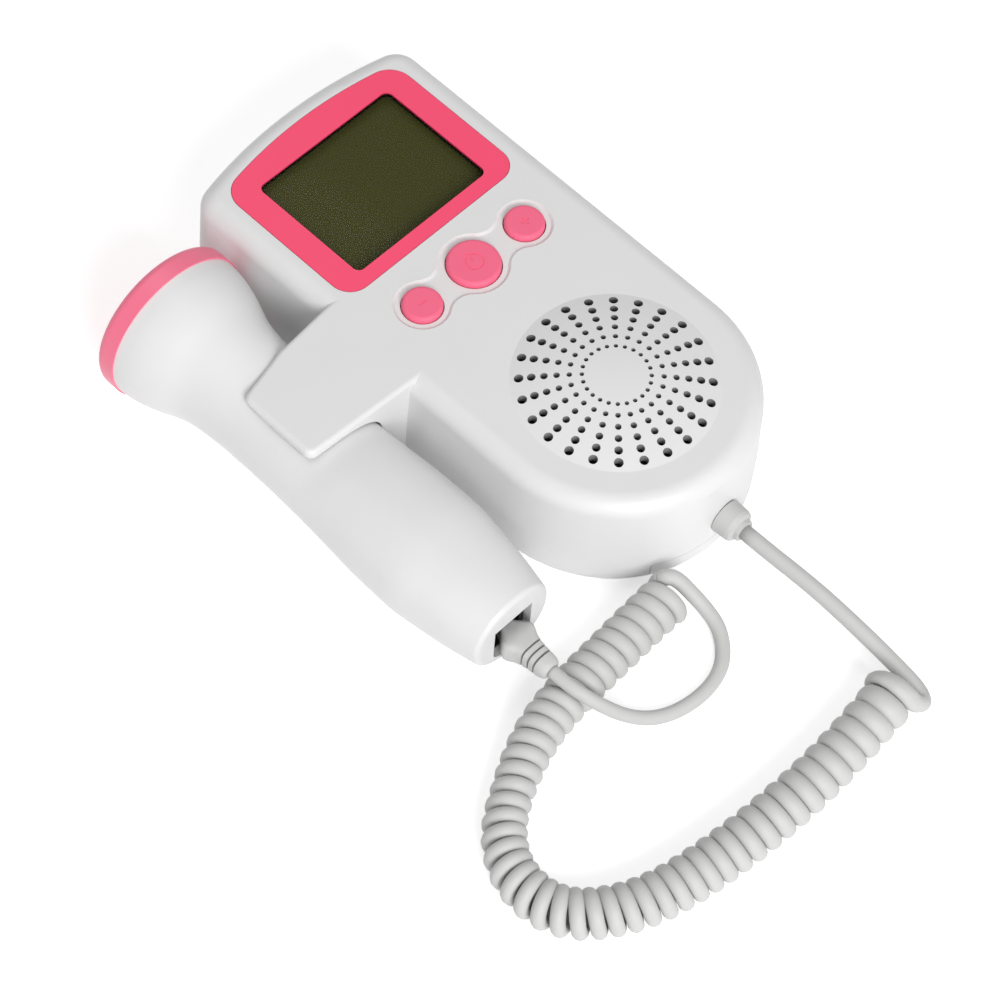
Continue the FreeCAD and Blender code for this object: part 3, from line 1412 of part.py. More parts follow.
def make_cap():
    """The coloured cap over the head: a band, a bulging front and a spigot."""
    rim = head_y + cap_band + cap_rounding
    disc = body("cap_disc")
    drawing = sketch(disc, "cap_profile", "XY_Plane")
    ball = (head_radius * head_radius + cap_bulge * cap_bulge) / (cap_bulge * 2.0)
    centre_y = rim + cap_bulge - ball
    angle = math.degrees(math.asin(head_radius.value / ball.value))
    corners = [Vector(0, head_y.value, 0), Vector(head_radius.value, head_y.value, 0),
               Vector(head_radius.value, rim.value, 0), Vector(0, (rim + cap_bulge).value, 0)]
    drawing.addGeometry(Part.LineSegment(corners[0], corners[1]))
    drawing.addGeometry(Part.LineSegment(corners[1], corners[2]))
    drawing.addGeometry(arc_between((0, centre_y.value, ball.value), 90 - angle, 90))
    drawing.addGeometry(Part.LineSegment(corners[3], corners[0]))
    for before, after in ((0, 1), (1, 2), (2, 3), (3, 0)):
        drawing.addConstraint(Sketcher.Constraint("Coincident", before, 2, after, 1))
    fix_point(drawing, 0, 1, 0.0, head_y)
    fix_point(drawing, 0, 2, head_radius, head_y)
    drawing.addConstraint(Sketcher.Constraint("Vertical", 1))
    fix_point(drawing, 2, 3, 0.0, centre_y)
    fix_radius(drawing, 2, ball)
    drawing.addConstraint(Sketcher.Constraint("PointOnObject", 2, 2, -2))
    turned_disc = revolve(disc, drawing, "V_Axis")
    DOC.recompute()

    def at_rim(bounds):
        wide = bounds.XLength > 2.0 * head_radius.value - 0.1
        return wide and bounds.YLength < 0.01 and abs(bounds.YMin - rim.value) < 0.01
    fillet(disc, turned_disc, edges_where(turned_disc, at_rim), cap_rounding, "RimFillet")
    place(disc, probe_x, 0.0, probe_height)
    spigot_radius = head_radius - mouth_wall - clearance
    spigot = lying_cylinder("cap_spigot", spigot_radius, head_y - spigot_length, head_y + 0.5)
    room = lying_cylinder("cap_room", spigot_radius - 2.0, head_y - spigot_length - 1.0,
                          cap_inside)
    return label(cut("probe_cap", fuse("cap_whole", [disc, spigot]), [room]), "probe_cap")


def make_transducers():
    """The sending and the receiving half disc, glued inside the cap."""
    halves = []
    for number, side in enumerate((-1, 1)):
        disc = lying_cylinder(f"crystal_disc_{number + 1}", transducer_radius,
                              cap_inside - 1.2, cap_inside)
        away = transducer_radius + 1.0
        x_range = sorted((probe_x + side * 0.6, probe_x + side * away), key=lambda x: x.value)
        half = box(f"crystal_side_{number + 1}", x_range, (cap_inside - 2.0, cap_inside + 1.0),
                   (probe_height - away, probe_height + away))
        halves.append(common(f"crystal_{number + 1}", disc, half))
    return label(group("transducer_crystals", halves), "transducer_crystals")


def make_probe_board():
    """The probe's own small circuit board, on its two posts."""
    return box("probe_board", (probe_x - 7.5, probe_x + 7.5), (8.0, neck_y + 5.0),
               (probe_board_bottom, probe_board_bottom + 1.2))


probe_board_bottom = probe_height - probe_board_drop
cap_inside = head_y + 3.9


# ---- the whole object ---------------------------------------------------

front_outside, back_outside = make_unit_outside()
parts = [make_front_shell(), make_back_shell(), make_battery_cover(), make_bezel(),
         make_window()]
parts += make_display()
buttons = (("left_button", minus_mark), ("power_button", power_mark),
           ("right_button", plus_mark))
for (radius, x), (name, mark) in zip(button_places(), buttons):
    parts.append(make_button(name, radius, x, mark))
parts += [make_button_pad(), make_board(), make_switches(), make_board_chips()]
parts += make_speaker()
parts += [make_cell(0), make_cell(1)]
parts += make_contacts()
parts += make_screws()
parts.append(make_gland())
parts += make_cord()
parts += make_plug()
parts += [make_boot(), make_handle(), make_socket(), make_cap(), make_transducers(),
          label(make_probe_board(), "probe_board")]
SHEET.recompute()
DOC.recompute()


# ---- checks and export --------------------------------------------------

for thing in DOC.Objects:
    states = set(thing.State) & {"Invalid", "Error"}
    if states:
        FAULTS.append(f"{thing.Label} ({thing.Name}): {', '.join(sorted(states))}")
for part in parts:
    shape = part.Shape
    if shape.isNull() or not shape.isValid() or not shape.Solids:
        FAULTS.append(f"{part.Label}: no valid solid")
if len({part.Label for part in parts}) != len(parts):
    FAULTS.append("two sub-parts share a name")
for fault in FAULTS:
    print("FAULT", fault)
if FAULTS:
    raise SystemExit(1)

os.makedirs("parts", exist_ok=True)
for part in parts:
    part.Shape.exportStep(os.path.join("parts", f"{part.Label}.step"))
    bounds = part.Shape.BoundBox
    print(f"{part.Label}: {len(part.Shape.Solids)} solid(s), {part.Shape.Volume:.0f} mm3, "
          f"x {bounds.XMin:.1f} to {bounds.XMax:.1f}, y {bounds.YMin:.1f} to {bounds.YMax:.1f}, "
          f"z {bounds.ZMin:.1f} to {bounds.ZMax:.1f}")
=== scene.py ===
"""Fetal doppler monitor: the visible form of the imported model.

A handheld unit with a display, three keys and a loudspeaker holds a probe in
the arm on its left side, and a curly cord runs from the unit to the probe.
Its lengths are written in millimetres and turned to metres where they are used.
The floor and the lamps are laid out in metres.
"""
import logging
import math
from dataclasses import dataclass, field
from enum import Enum
from typing import Iterable, Optional, Sequence

import bmesh
import bpy
from mathutils import Matrix, Vector


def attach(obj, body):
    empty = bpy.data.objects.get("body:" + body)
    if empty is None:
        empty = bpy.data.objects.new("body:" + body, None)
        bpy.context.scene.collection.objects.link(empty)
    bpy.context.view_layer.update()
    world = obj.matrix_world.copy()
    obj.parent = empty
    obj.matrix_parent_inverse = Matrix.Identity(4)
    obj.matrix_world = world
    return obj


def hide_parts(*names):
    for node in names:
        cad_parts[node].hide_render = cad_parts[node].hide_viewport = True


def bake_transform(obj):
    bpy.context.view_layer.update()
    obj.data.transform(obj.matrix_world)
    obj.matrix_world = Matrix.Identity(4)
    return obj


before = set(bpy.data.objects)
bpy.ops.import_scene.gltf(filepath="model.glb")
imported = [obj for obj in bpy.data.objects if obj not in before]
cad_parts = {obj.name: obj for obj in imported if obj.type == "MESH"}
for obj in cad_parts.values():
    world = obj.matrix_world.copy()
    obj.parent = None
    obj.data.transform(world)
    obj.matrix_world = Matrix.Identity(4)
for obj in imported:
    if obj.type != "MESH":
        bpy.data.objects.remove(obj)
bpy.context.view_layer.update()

MM = 0.001
# A wave texture of scale 1 repeats after this many units.
WAVE_REPEAT = math.pi / 10.0
# A brushed finish draws its noise out along X, by one over this.
BRUSHED_SHARE = 0.06
Point = tuple[float, float, float]
log = logging.getLogger("doppler")


def millimetres(points: Iterable[Point]) -> list[Vector]:
    """Turns points written in millimetres into vectors in metres.

    Args:
        points: The points, in millimetres.

    Returns:
        The same points, in metres.
    """
    return [Vector(point) * MM for point in points]


def linear(colour: str) -> tuple[float, float, float, float]:
    """Turns an sRGB hex value into linear light.

    Args:
        colour: Six hex digits, with or without a leading hash.

    Returns:
        Red, green, blue and an alpha of 1, as shader sockets take them.
    """
    digits = colour.lstrip("#")
    shares = [int(digits[at:at + 2], 16) / 255.0 for at in (0, 2, 4)]
    bright = [share / 12.92 if share <= 0.04045 else ((share + 0.055) / 1.055) ** 2.4
              for share in shares]
    return (bright[0], bright[1], bright[2], 1.0)


def add_node(tree: bpy.types.NodeTree, kind: str, settings: Optional[dict] = None,
             links: Optional[dict] = None) -> bpy.types.Node:
    """Adds one node with its settings and links.

    Args:
        tree: The node tree that takes the node.
        kind: The node's type name.
        settings: Values by input socket name or index, or by property name.
        links: Output sockets by the input socket name or index they feed.

    Returns:
        The new node.
    """
    node = tree.nodes.new(kind)
    for name, value in (settings or {}).items():
        if isinstance(name, str) and hasattr(node, name):
            setattr(node, name, value)
        else:
            node.inputs[name].default_value = value
    for name, output in (links or {}).items():
        tree.links.new(output, node.inputs[name])
    return node


class Texture(Enum):
    """What the fine relief of a finish is."""

    MOULDED = "sparked mould"
    WOVEN = "crossed threads"
    BRUSHED = "fine lines"
    TRACED = "copper tracks"
    POLISHED = "none"


@dataclass(frozen=True)
class Finish:
    """A finish with its own fine relief and a slow change of tone.

    Lengths are real sizes in millimetres.
    """

    name: str
    colour: str
    shade: str
    roughness: float
    ior: float = 1.5
    metallic: float = 0.0
    grain_mm: float = 0.5
    grain_height_mm: float = 0.01
    mottle_mm: float = 14.0
    roughness_swing: float = 0.04
    specular: float = 0.5
    texture: Texture = Texture.MOULDED

    def material(self) -> bpy.types.Material:
        """Builds the material, or finds the one already built."""
        made = bpy.data.materials.get(self.name)
        if made:
            return made
        made = bpy.data.materials.new(self.name)
        made.use_nodes = True
        tree = made.node_tree
        tree.nodes.clear()
        self.dress(tree)
        return made

    def dress(self, tree: bpy.types.NodeTree) -> None:
        """Fills the node tree.

        Args:
            tree: An empty node tree.
        """
        where = add_node(tree, "ShaderNodeTexCoord").outputs["Object"]
        shader = self.shader(tree, self.tone(tree, where), self.gloss(tree, where), where)
        add_node(tree, "ShaderNodeOutputMaterial",
                 links={"Surface": shader.outputs["BSDF"]})

    def tone(self, tree: bpy.types.NodeTree,
             where: bpy.types.NodeSocket) -> bpy.types.NodeSocket:
        """Mixes the colour with its shade, in soft patches or along its pattern.

        Args:
            tree: The material's node tree.
            where: The coordinates of the pattern.

        Returns:
            The socket of the colour.
        """
        if self.texture in (Texture.WOVEN, Texture.TRACED):
            share = self.height(tree, where)
        else:
            share = add_node(tree, "ShaderNodeTexNoise",
                             {"Scale": 1.0 / (self.mottle_mm * MM), "Detail": 3.0},
                             {"Vector": where}).outputs["Fac"]
        mix = add_node(tree, "ShaderNodeMix",
                       {"data_type": "RGBA", 6: linear(self.colour), 7: linear(self.shade)},
                       {"Factor": share})
        return mix.outputs[2]

    def gloss(self, tree: bpy.types.NodeTree,
              where: bpy.types.NodeSocket) -> bpy.types.NodeSocket:
        """Lets the roughness swing a little, as handled plastic does.

        Args:
            tree: The material's node tree.
            where: The coordinates of the pattern.

        Returns:
            The socket of the roughness.
        """
        smears = add_node(tree, "ShaderNodeTexNoise",
                          {"Scale": 0.4 / (self.mottle_mm * MM), "Detail": 4.0},
                          {"Vector": where})
        swing = add_node(tree, "ShaderNodeMapRange",
                         {"To Min": self.roughness - self.roughness_swing,
                          "To Max": self.roughness + self.roughness_swing},
                         {"Value": smears.outputs["Fac"]})
        return swing.outputs["Result"]

    def height(self, tree: bpy.types.NodeTree,
               where: bpy.types.NodeSocket) -> bpy.types.NodeSocket:
        """Draws the pattern that the tool or the loom leaves.

        Args:
            tree: The material's node tree.
            where: The coordinates of the pattern.

        Returns:
            The socket of the height, from 0 to 1.
        """
        spacing = self.grain_mm * MM
        if self.texture is Texture.WOVEN:
            threads = [add_node(tree, "ShaderNodeTexWave",
                                {"bands_direction": way, "Scale": WAVE_REPEAT / spacing},
                                {"Vector": where}).outputs["Fac"] for way in ("X", "Y")]
            return add_node(tree, "ShaderNodeMath", {"operation": "MULTIPLY"},
                            {0: threads[0], 1: threads[1]}).outputs[0]
        if self.texture is Texture.TRACED:
            return add_node(tree, "ShaderNodeTexBrick",
                            {"Scale": 1.0 / spacing, "Brick Width": 3.0, "Row Height": 1.0,
                             "Mortar Size": 0.14},
                            {"Vector": where}).outputs["Fac"]
        if self.texture is Texture.BRUSHED:
            where = add_node(tree, "ShaderNodeMapping", {"Scale": (BRUSHED_SHARE, 1.0, 1.0)},
                             {"Vector": where}).outputs["Vector"]
        return add_node(tree, "ShaderNodeTexNoise", {"Scale": 1.0 / spacing, "Detail": 2.0},
                        {"Vector": where}).outputs["Fac"]

    def shader(self, tree: bpy.types.NodeTree, colour: bpy.types.NodeSocket,
               roughness: bpy.types.NodeSocket,
               where: bpy.types.NodeSocket) -> bpy.types.Node:
        """Adds the surface shader, with its relief unless it is polished.

        Args:
            tree: The material's node tree.
            colour: The socket of the colour.
            roughness: The socket of the roughness.
            where: The coordinates of the pattern.

        Returns:
            The shader node.
        """
        settings = {"Metallic": self.metallic, "Specular IOR Level": self.specular}
        if self.metallic < 0.5:
            settings["IOR"] = self.ior
        links = {"Base Color": colour, "Roughness": roughness}
        if self.texture is not Texture.POLISHED:
            bump = add_node(tree, "ShaderNodeBump",
                            {"Strength": 1.0, "Distance": self.grain_height_mm * MM},
                            {"Height": self.height(tree, where)})
            links["Normal"] = bump.outputs["Normal"]
        return add_node(tree, "ShaderNodeBsdfPrincipled", settings, links)


@dataclass(frozen=True)
class WindowFinish(Finish):
    """A clear sheet whose upright edge faces are drawn opaque black."""

    cover: float = 0.12

    def shader(self, tree: bpy.types.NodeTree, colour: bpy.types.NodeSocket,
               roughness: bpy.types.NodeSocket,
               where: bpy.types.NodeSocket) -> bpy.types.Node:
        """Adds the surface shader and lets light through all but the edges.

        Args:
            tree: The material's node tree.
            colour: The socket of the colour.
            roughness: The socket of the roughness.
            where: The coordinates of the pattern.

        Returns:
            The shader node.
        """
        made = super().shader(tree, colour, roughness, where)
        facing = add_node(tree, "ShaderNodeTexCoord").outputs["Normal"]
        parts = add_node(tree, "ShaderNodeSeparateXYZ", {}, {0: facing})
        flat = add_node(tree, "ShaderNodeMath", {"operation": "ABSOLUTE"},
                        {0: parts.outputs["Z"]})
        solid = add_node(tree, "ShaderNodeMapRange",
                         {"From Min": 0.4, "From Max": 0.6, "To Min": 1.0,
                          "To Max": self.cover}, {"Value": flat.outputs[0]})
        tree.links.new(solid.outputs["Result"], made.inputs["Alpha"])
        return made


@dataclass(frozen=True)
class PaintedHoleShadeFinish(Finish):
    """A shell's plastic, with painted shade on the upright walls of the loudspeaker's holes."""

    # Painted shade: the grey laid on the holes' walls in place of their shadow.
    painted_hole_shade: str = "#909091"
    speaker_y_mm: float = 0.0
    speaker_radius_mm: float = 23.4
    floor_mm: float = 24.0

    def tone(self, tree: bpy.types.NodeTree,
             where: bpy.types.NodeSocket) -> bpy.types.NodeSocket:
        """Paints shade on the upright faces inside the loudspeaker's circle.

        Args:
            tree: The material's node tree.
            where: The coordinates of the pattern.

        Returns:
            The socket of the colour.
        """
        plain = super().tone(tree, where)
        middle = Vector((0.0, self.speaker_y_mm, 0.0)) * MM
        flat = add_node(tree, "ShaderNodeVectorMath",
                        {"operation": "MULTIPLY", 1: (1.0, 1.0, 0.0)}, {0: where})
        away = add_node(tree, "ShaderNodeVectorMath",
                        {"operation": "DISTANCE", 1: middle}, {0: flat.outputs["Vector"]})
        inside = add_node(tree, "ShaderNodeMath",
                          {"operation": "LESS_THAN", 1: self.speaker_radius_mm * MM},
                          {0: away.outputs["Value"]})
        height = add_node(tree, "ShaderNodeSeparateXYZ", {}, {0: where})
        above = add_node(tree, "ShaderNodeMath",
                         {"operation": "GREATER_THAN", 1: self.floor_mm * MM},
                         {0: height.outputs["Z"]})
        facing = add_node(tree, "ShaderNodeSeparateXYZ", {},
                          {0: add_node(tree, "ShaderNodeTexCoord").outputs["Normal"]})
        lying = add_node(tree, "ShaderNodeMath", {"operation": "ABSOLUTE"},
                         {0: facing.outputs["Z"]})
        upright = add_node(tree, "ShaderNodeMath", {"operation": "LESS_THAN", 1: 0.5},
                           {0: lying.outputs[0]})
        near = add_node(tree, "ShaderNodeMath", {"operation": "MULTIPLY"},
                        {0: inside.outputs[0], 1: above.outputs[0]})
        share = add_node(tree, "ShaderNodeMath", {"operation": "MULTIPLY"},
                         {0: near.outputs[0], 1: upright.outputs[0]})
        # Mixes the painted shade over the plastic's own colour on those faces.
        mix = add_node(tree, "ShaderNodeMix", {"data_type": "RGBA", 7: linear(self.painted_hole_shade)},
                       {"Factor": share.outputs[0], 6: plain})
        return mix.outputs[2]


# Injection-moulded ABS: an even, faintly sparked skin with a soft sheen.
WHITE_ABS = Finish("white_moulded_abs", "#E6E6E6", "#E2E2E2", 0.42, ior=1.53,
                   grain_mm=0.35, grain_height_mm=0.004)
# The same ABS, pierced for the loudspeaker: the holes' walls carry painted shade, a flat grey in
# place of their deep shadow.
WHITE_ABS_PAINTED_HOLE_SHADE = PaintedHoleShadeFinish("white_abs_painted_hole_shade", "#E6E6E6", "#E2E2E2", 0.42, ior=1.53,
                                 grain_mm=0.35, grain_height_mm=0.004)
# The frame round the display, from a polished tool: clearer highlights.
PINK_ABS = Finish("pink_moulded_abs", "#FF4470", "#FB406C", 0.36, ior=1.53,
                  grain_mm=0.4, grain_height_mm=0.003)
# The probe's face is the same plastic with more white in it: a milkier pink.
PALE_PINK_ABS = Finish("pale_pink_moulded_abs", "#FB7896", "#F87392", 0.4, ior=1.53,
                       grain_mm=0.4, grain_height_mm=0.003)
# Silicone keys: paler and duller than the frame.
PINK_SILICONE = Finish("pink_silicone", "#FD7090", "#FA6C8C", 0.55, ior=1.42,
                       grain_mm=0.3, grain_height_mm=0.006)
# Cord jacket, extruded thermoplastic polyurethane: satin, a little waxy.
GREY_TPU = Finish("grey_cord_tpu", "#CACAC9", "#C4C4C3", 0.58, ior=1.5,
                  grain_mm=0.5, grain_height_mm=0.006, mottle_mm=9.0)
# Glass-filled nylon: matt black with a dry look.
BLACK_NYLON = Finish("black_nylon", "#18181A", "#121213", 0.5, grain_mm=0.3)
# The display's polariser over unlit glass: deep olive, without a shine of its own.
LCD_GLASS = Finish("lcd_polariser", "#555629", "#525328", 0.3, ior=1.52, mottle_mm=30.0,
                   specular=0.05, texture=Texture.POLISHED)
# Clear acrylic window with its upright edge faces drawn opaque black: it darkens what lies under
# it a little.
CLEAR_ACRYLIC = WindowFinish("clear_acrylic", "#080808", "#060606", 0.05, ior=1.49,
                             roughness_swing=0.01, specular=0.3,
                             texture=Texture.POLISHED)
# The light guide is frosted, so it looks milky.
FROSTED_ACRYLIC = Finish("frosted_acrylic", "#F2F3F0", "#EAEBE8", 0.5, ior=1.49,
                         grain_mm=0.2)
# Green mask over copper: the tracks stand up and show paler.
CIRCUIT_BOARD = Finish("masked_circuit_board", "#1A4F2D", "#2E7444", 0.35, grain_mm=1.1,
                       grain_height_mm=0.03, texture=Texture.TRACED)
# Moulded epoxy: dull black with a dusty grain.
EPOXY_CHIP = Finish("moulded_epoxy", "#1B1B1C", "#151516", 0.6, grain_mm=0.2)
# Acoustic cloth, woven: threads drawn 0.6 mm apart so that they still show.
SPEAKER_CLOTH = Finish("woven_speaker_cloth", "#101011", "#2A2A2C", 0.9, grain_mm=0.6,
                       grain_height_mm=0.08, texture=Texture.WOVEN)
# Pressed paper pulp: fibrous and matt.
SPEAKER_PAPER = Finish("pressed_paper", "#2A2927", "#1F1E1C", 0.85, grain_mm=0.7,
                       grain_height_mm=0.03, mottle_mm=2.5)
# Steel wire and sheet, zinc plated: drawn lines under a bluish shine.
ZINC_STEEL = Finish("zinc_plated_steel", "#C4C6C8", "#B6B8BA", 0.35, metallic=1.0,
                    grain_mm=0.25, grain_height_mm=0.005, texture=Texture.BRUSHED)
# Nickel plate on spring steel: warmer and brighter than zinc.
NICKEL_STEEL = Finish("nickel_plated_steel", "#CFCCC4", "#C2BFB7", 0.28, metallic=1.0,
                      grain_mm=0.25, grain_height_mm=0.004, texture=Texture.BRUSHED)
# Gold flash on stamped contacts: smooth and warm.
GOLD_CONTACT = Finish("gold_plated_contact", "#E2B659", "#D8AA4C", 0.22, metallic=1.0,
                      mottle_mm=2.0, texture=Texture.POLISHED)
# Sintered ferrite: dark grey, slightly rough like fired clay.
FERRITE = Finish("sintered_ferrite", "#3A3A3B", "#303031", 0.6, grain_mm=0.4,
                 grain_height_mm=0.02)
# Shrunk film round a cell: glossy, with faint lines from the roller.
CELL_SLEEVE = Finish("shrunk_cell_sleeve", "#8C8F93", "#7D8085", 0.3, grain_mm=0.4,
                     grain_height_mm=0.004, texture=Texture.BRUSHED)
# Plug body in smoked polycarbonate: glassy and grey.
SMOKED_POLYCARBONATE = Finish("smoked_polycarbonate", "#A9A9A8", "#9C9C9B", 0.25, ior=1.58,
                              mottle_mm=4.0, texture=Texture.POLISHED)
# Fired piezoelectric ceramic: pale tan with a fine tooth.
PIEZO_CERAMIC = Finish("piezo_ceramic", "#CDBE9B", "#C3B38F", 0.5, grain_mm=0.25,
                       grain_height_mm=0.01, mottle_mm=3.0)

NODE_FINISHES: dict[str, Finish] = {
    "front_shell": WHITE_ABS_PAINTED_HOLE_SHADE, "back_shell": WHITE_ABS, "battery_cover": WHITE_ABS,
    "display_bezel": PINK_ABS, "display_window": CLEAR_ACRYLIC, "lcd_glass": LCD_GLASS,
    "lcd_frame": BLACK_NYLON, "light_guide": FROSTED_ACRYLIC,
    "left_button": PINK_SILICONE, "power_button": PINK_SILICONE,
    "right_button": PINK_SILICONE, "button_pad": PINK_SILICONE,
    "main_board": CIRCUIT_BOARD, "push_switches": BLACK_NYLON, "board_chips": EPOXY_CHIP,
    "speaker_cloth": SPEAKER_CLOTH, "speaker_frame": ZINC_STEEL,
    "speaker_cone": SPEAKER_PAPER, "speaker_magnet": FERRITE,
    "battery_cell_1": CELL_SLEEVE, "battery_cell_2": CELL_SLEEVE,
    "contact_plates": NICKEL_STEEL, "contact_springs": NICKEL_STEEL,
    "shell_screws": ZINC_STEEL, "board_screws": ZINC_STEEL,
    "cable_gland": GREY_TPU, "plug_body": SMOKED_POLYCARBONATE,
    "plug_contacts": GOLD_CONTACT, "plug_boot": GREY_TPU,
    "probe_handle": WHITE_ABS, "probe_socket": BLACK_NYLON, "probe_cap": PALE_PINK_ABS,
    "transducer_crystals": PIEZO_CERAMIC, "probe_board": CIRCUIT_BOARD,
}


def route_curve(name: str, points: Sequence[Vector], steps: int) -> bpy.types.Curve:
    """Makes a curve of one open smooth spline.

    Args:
        name: The curve's name.
        points: The spline's control points, in metres.
        steps: How many pieces the curve makes of each of its spans.

    Returns:
        The curve, with no thickness yet.
    """
    curve = bpy.data.curves.new(name, "CURVE")
    curve.dimensions = "3D"
    curve.resolution_u = steps
    spline = curve.splines.new("NURBS")
    spline.points.add(len(points) - 1)
    for control, point in zip(spline.points, points):
        control.co = (*point, 1.0)
    spline.order_u = 3
    spline.use_endpoint_u = True
    return curve


def meshed(curve: bpy.types.Curve) -> bpy.types.Mesh:
    """Turns a curve, as it is now, into a mesh."""
    holder = bpy.data.objects.new("holder", curve)
    mesh = bpy.data.meshes.new_from_object(holder)
    bpy.data.objects.remove(holder)
    return mesh


def smooth_route(points: Sequence[Vector], steps: int = 12) -> list[Vector]:
    """Reads the smooth line of a route's spline.

    Args:
        points: The route's points, in metres.
        steps: How many points to read between two of the route's.

    Returns:
        Points along the spline, in metres.
    """
    curve = route_curve("route", points, steps)
    mesh = meshed(curve)
    line = [vertex.co.copy() for vertex in mesh.vertices]
    bpy.data.meshes.remove(mesh)
    bpy.data.curves.remove(curve)
    return line


def tube(name: str, points: Sequence[Vector], radii: Sequence[float], steps: int,
         rings_per_turn: int = 0, first_wound: int = 0,
         widths: Sequence[float] = ()) -> tuple[bpy.types.Object, list[Vector]]:
    """Sweeps a jacket along a route, and presses it wider where it is wound.

    Args:
        name: The name of the piece.
        points: The route's points, in metres.
        radii: The jacket's radius at each of them, in metres.
        steps: How many rings to sweep between two of the route's points.
        rings_per_turn: How many rings one turn of a winding takes.
        first_wound: The ring where the winding begins.
        widths: The jacket's width over its thickness at each point of the route.

    Returns:
        The object, and its middle line with one point for each ring.
    """
    line = smooth_route(points, steps)
    curve = route_curve(name, points, steps)
    for control, radius in zip(curve.splines[0].points, radii):
        control.radius = radius
    curve.bevel_depth = 1.0
    curve.bevel_resolution = 4
    mesh = meshed(curve)
    bpy.data.curves.remove(curve)
    sides = len(mesh.vertices) // len(line)
    shape = bmesh.new()
    shape.from_mesh(mesh)
    shape.verts.ensure_lookup_table()
    for ring, centre in enumerate(line if widths else ()):
        # The spline's rings run half a point ahead of its route.
        width = widths[min(len(widths) - 1, round(ring / steps + 0.5))]
        before = line[max(first_wound, ring - rings_per_turn)]
        after = line[min(len(line) - 1, max(first_wound, ring) + rings_per_turn)]
        along = (after - before).normalized()
        for vertex in shape.verts[ring * sides:(ring + 1) * sides]:
            share = (vertex.co - centre).dot(along)
            vertex.co += along * share * (width - 1.0)
    bmesh.ops.holes_fill(shape, edges=[edge for edge in shape.edges if edge.is_boundary])
    bmesh.ops.recalc_face_normals(shape, faces=shape.faces)
    for face in shape.faces:
        face.smooth = len(face.verts) == 4
    shape.to_mesh(mesh)
    shape.free()
    mesh.name = name
    mesh.materials.clear()
    mesh.materials.append(GREY_TPU.material())
    piece = bpy.data.objects.new(name, mesh)
    bpy.context.scene.collection.objects.link(piece)
    return piece, line


@dataclass
class Line:
    """A smooth line that can be asked for a place at a distance along it."""

    points: list[Vector]
    distances: list[float] = field(init=False)

    def __post_init__(self) -> None:
        """Adds up the distances along the line."""
        self.distances = [0.0]
        for before, after in zip(self.points, self.points[1:]):
            self.distances.append(self.distances[-1] + (after - before).length)

    @property
    def length(self) -> float:
        """The whole length, in metres."""
        return self.distances[-1]

    def at(self, distance: float) -> Vector:
        """Gives the place at a distance, going straight on past either end.

        Args:
            distance: How far along the line, in metres.

        Returns:
            The place.
        """
        last = len(self.points) - 2
        low, high = 0, last
        while low < high:
            middle = (low + high + 1) // 2
            if self.distances[middle] <= distance:
                low = middle
            else:
                high = middle - 1
        span = self.distances[low + 1] - self.distances[low]
        share = (distance - self.distances[low]) / span
        return self.points[low] + (self.points[low + 1] - self.points[low]) * share

    def direction(self, distance: float, reach: float = 0.0015) -> Vector:
        """Gives the direction at a distance, evened out over a reach in metres."""
        return (self.at(distance + reach) - self.at(distance - reach)).normalized()


def stepped(stations: Sequence[tuple[float, float]], at: float) -> float:
    """Reads a value between stations.

    Args:
        stations: Pairs of place and value, in order of place.
        at: The place asked for.

    Returns:
        The value there, straight between two stations and level past the ends.
    """
    if at <= stations[0][0]:
        return stations[0][1]
    for (start, low), (end, high) in zip(stations, stations[1:]):
        if at <= end:
            return low + (high - low) * (at - start) / (end - start)
    return stations[-1][1]


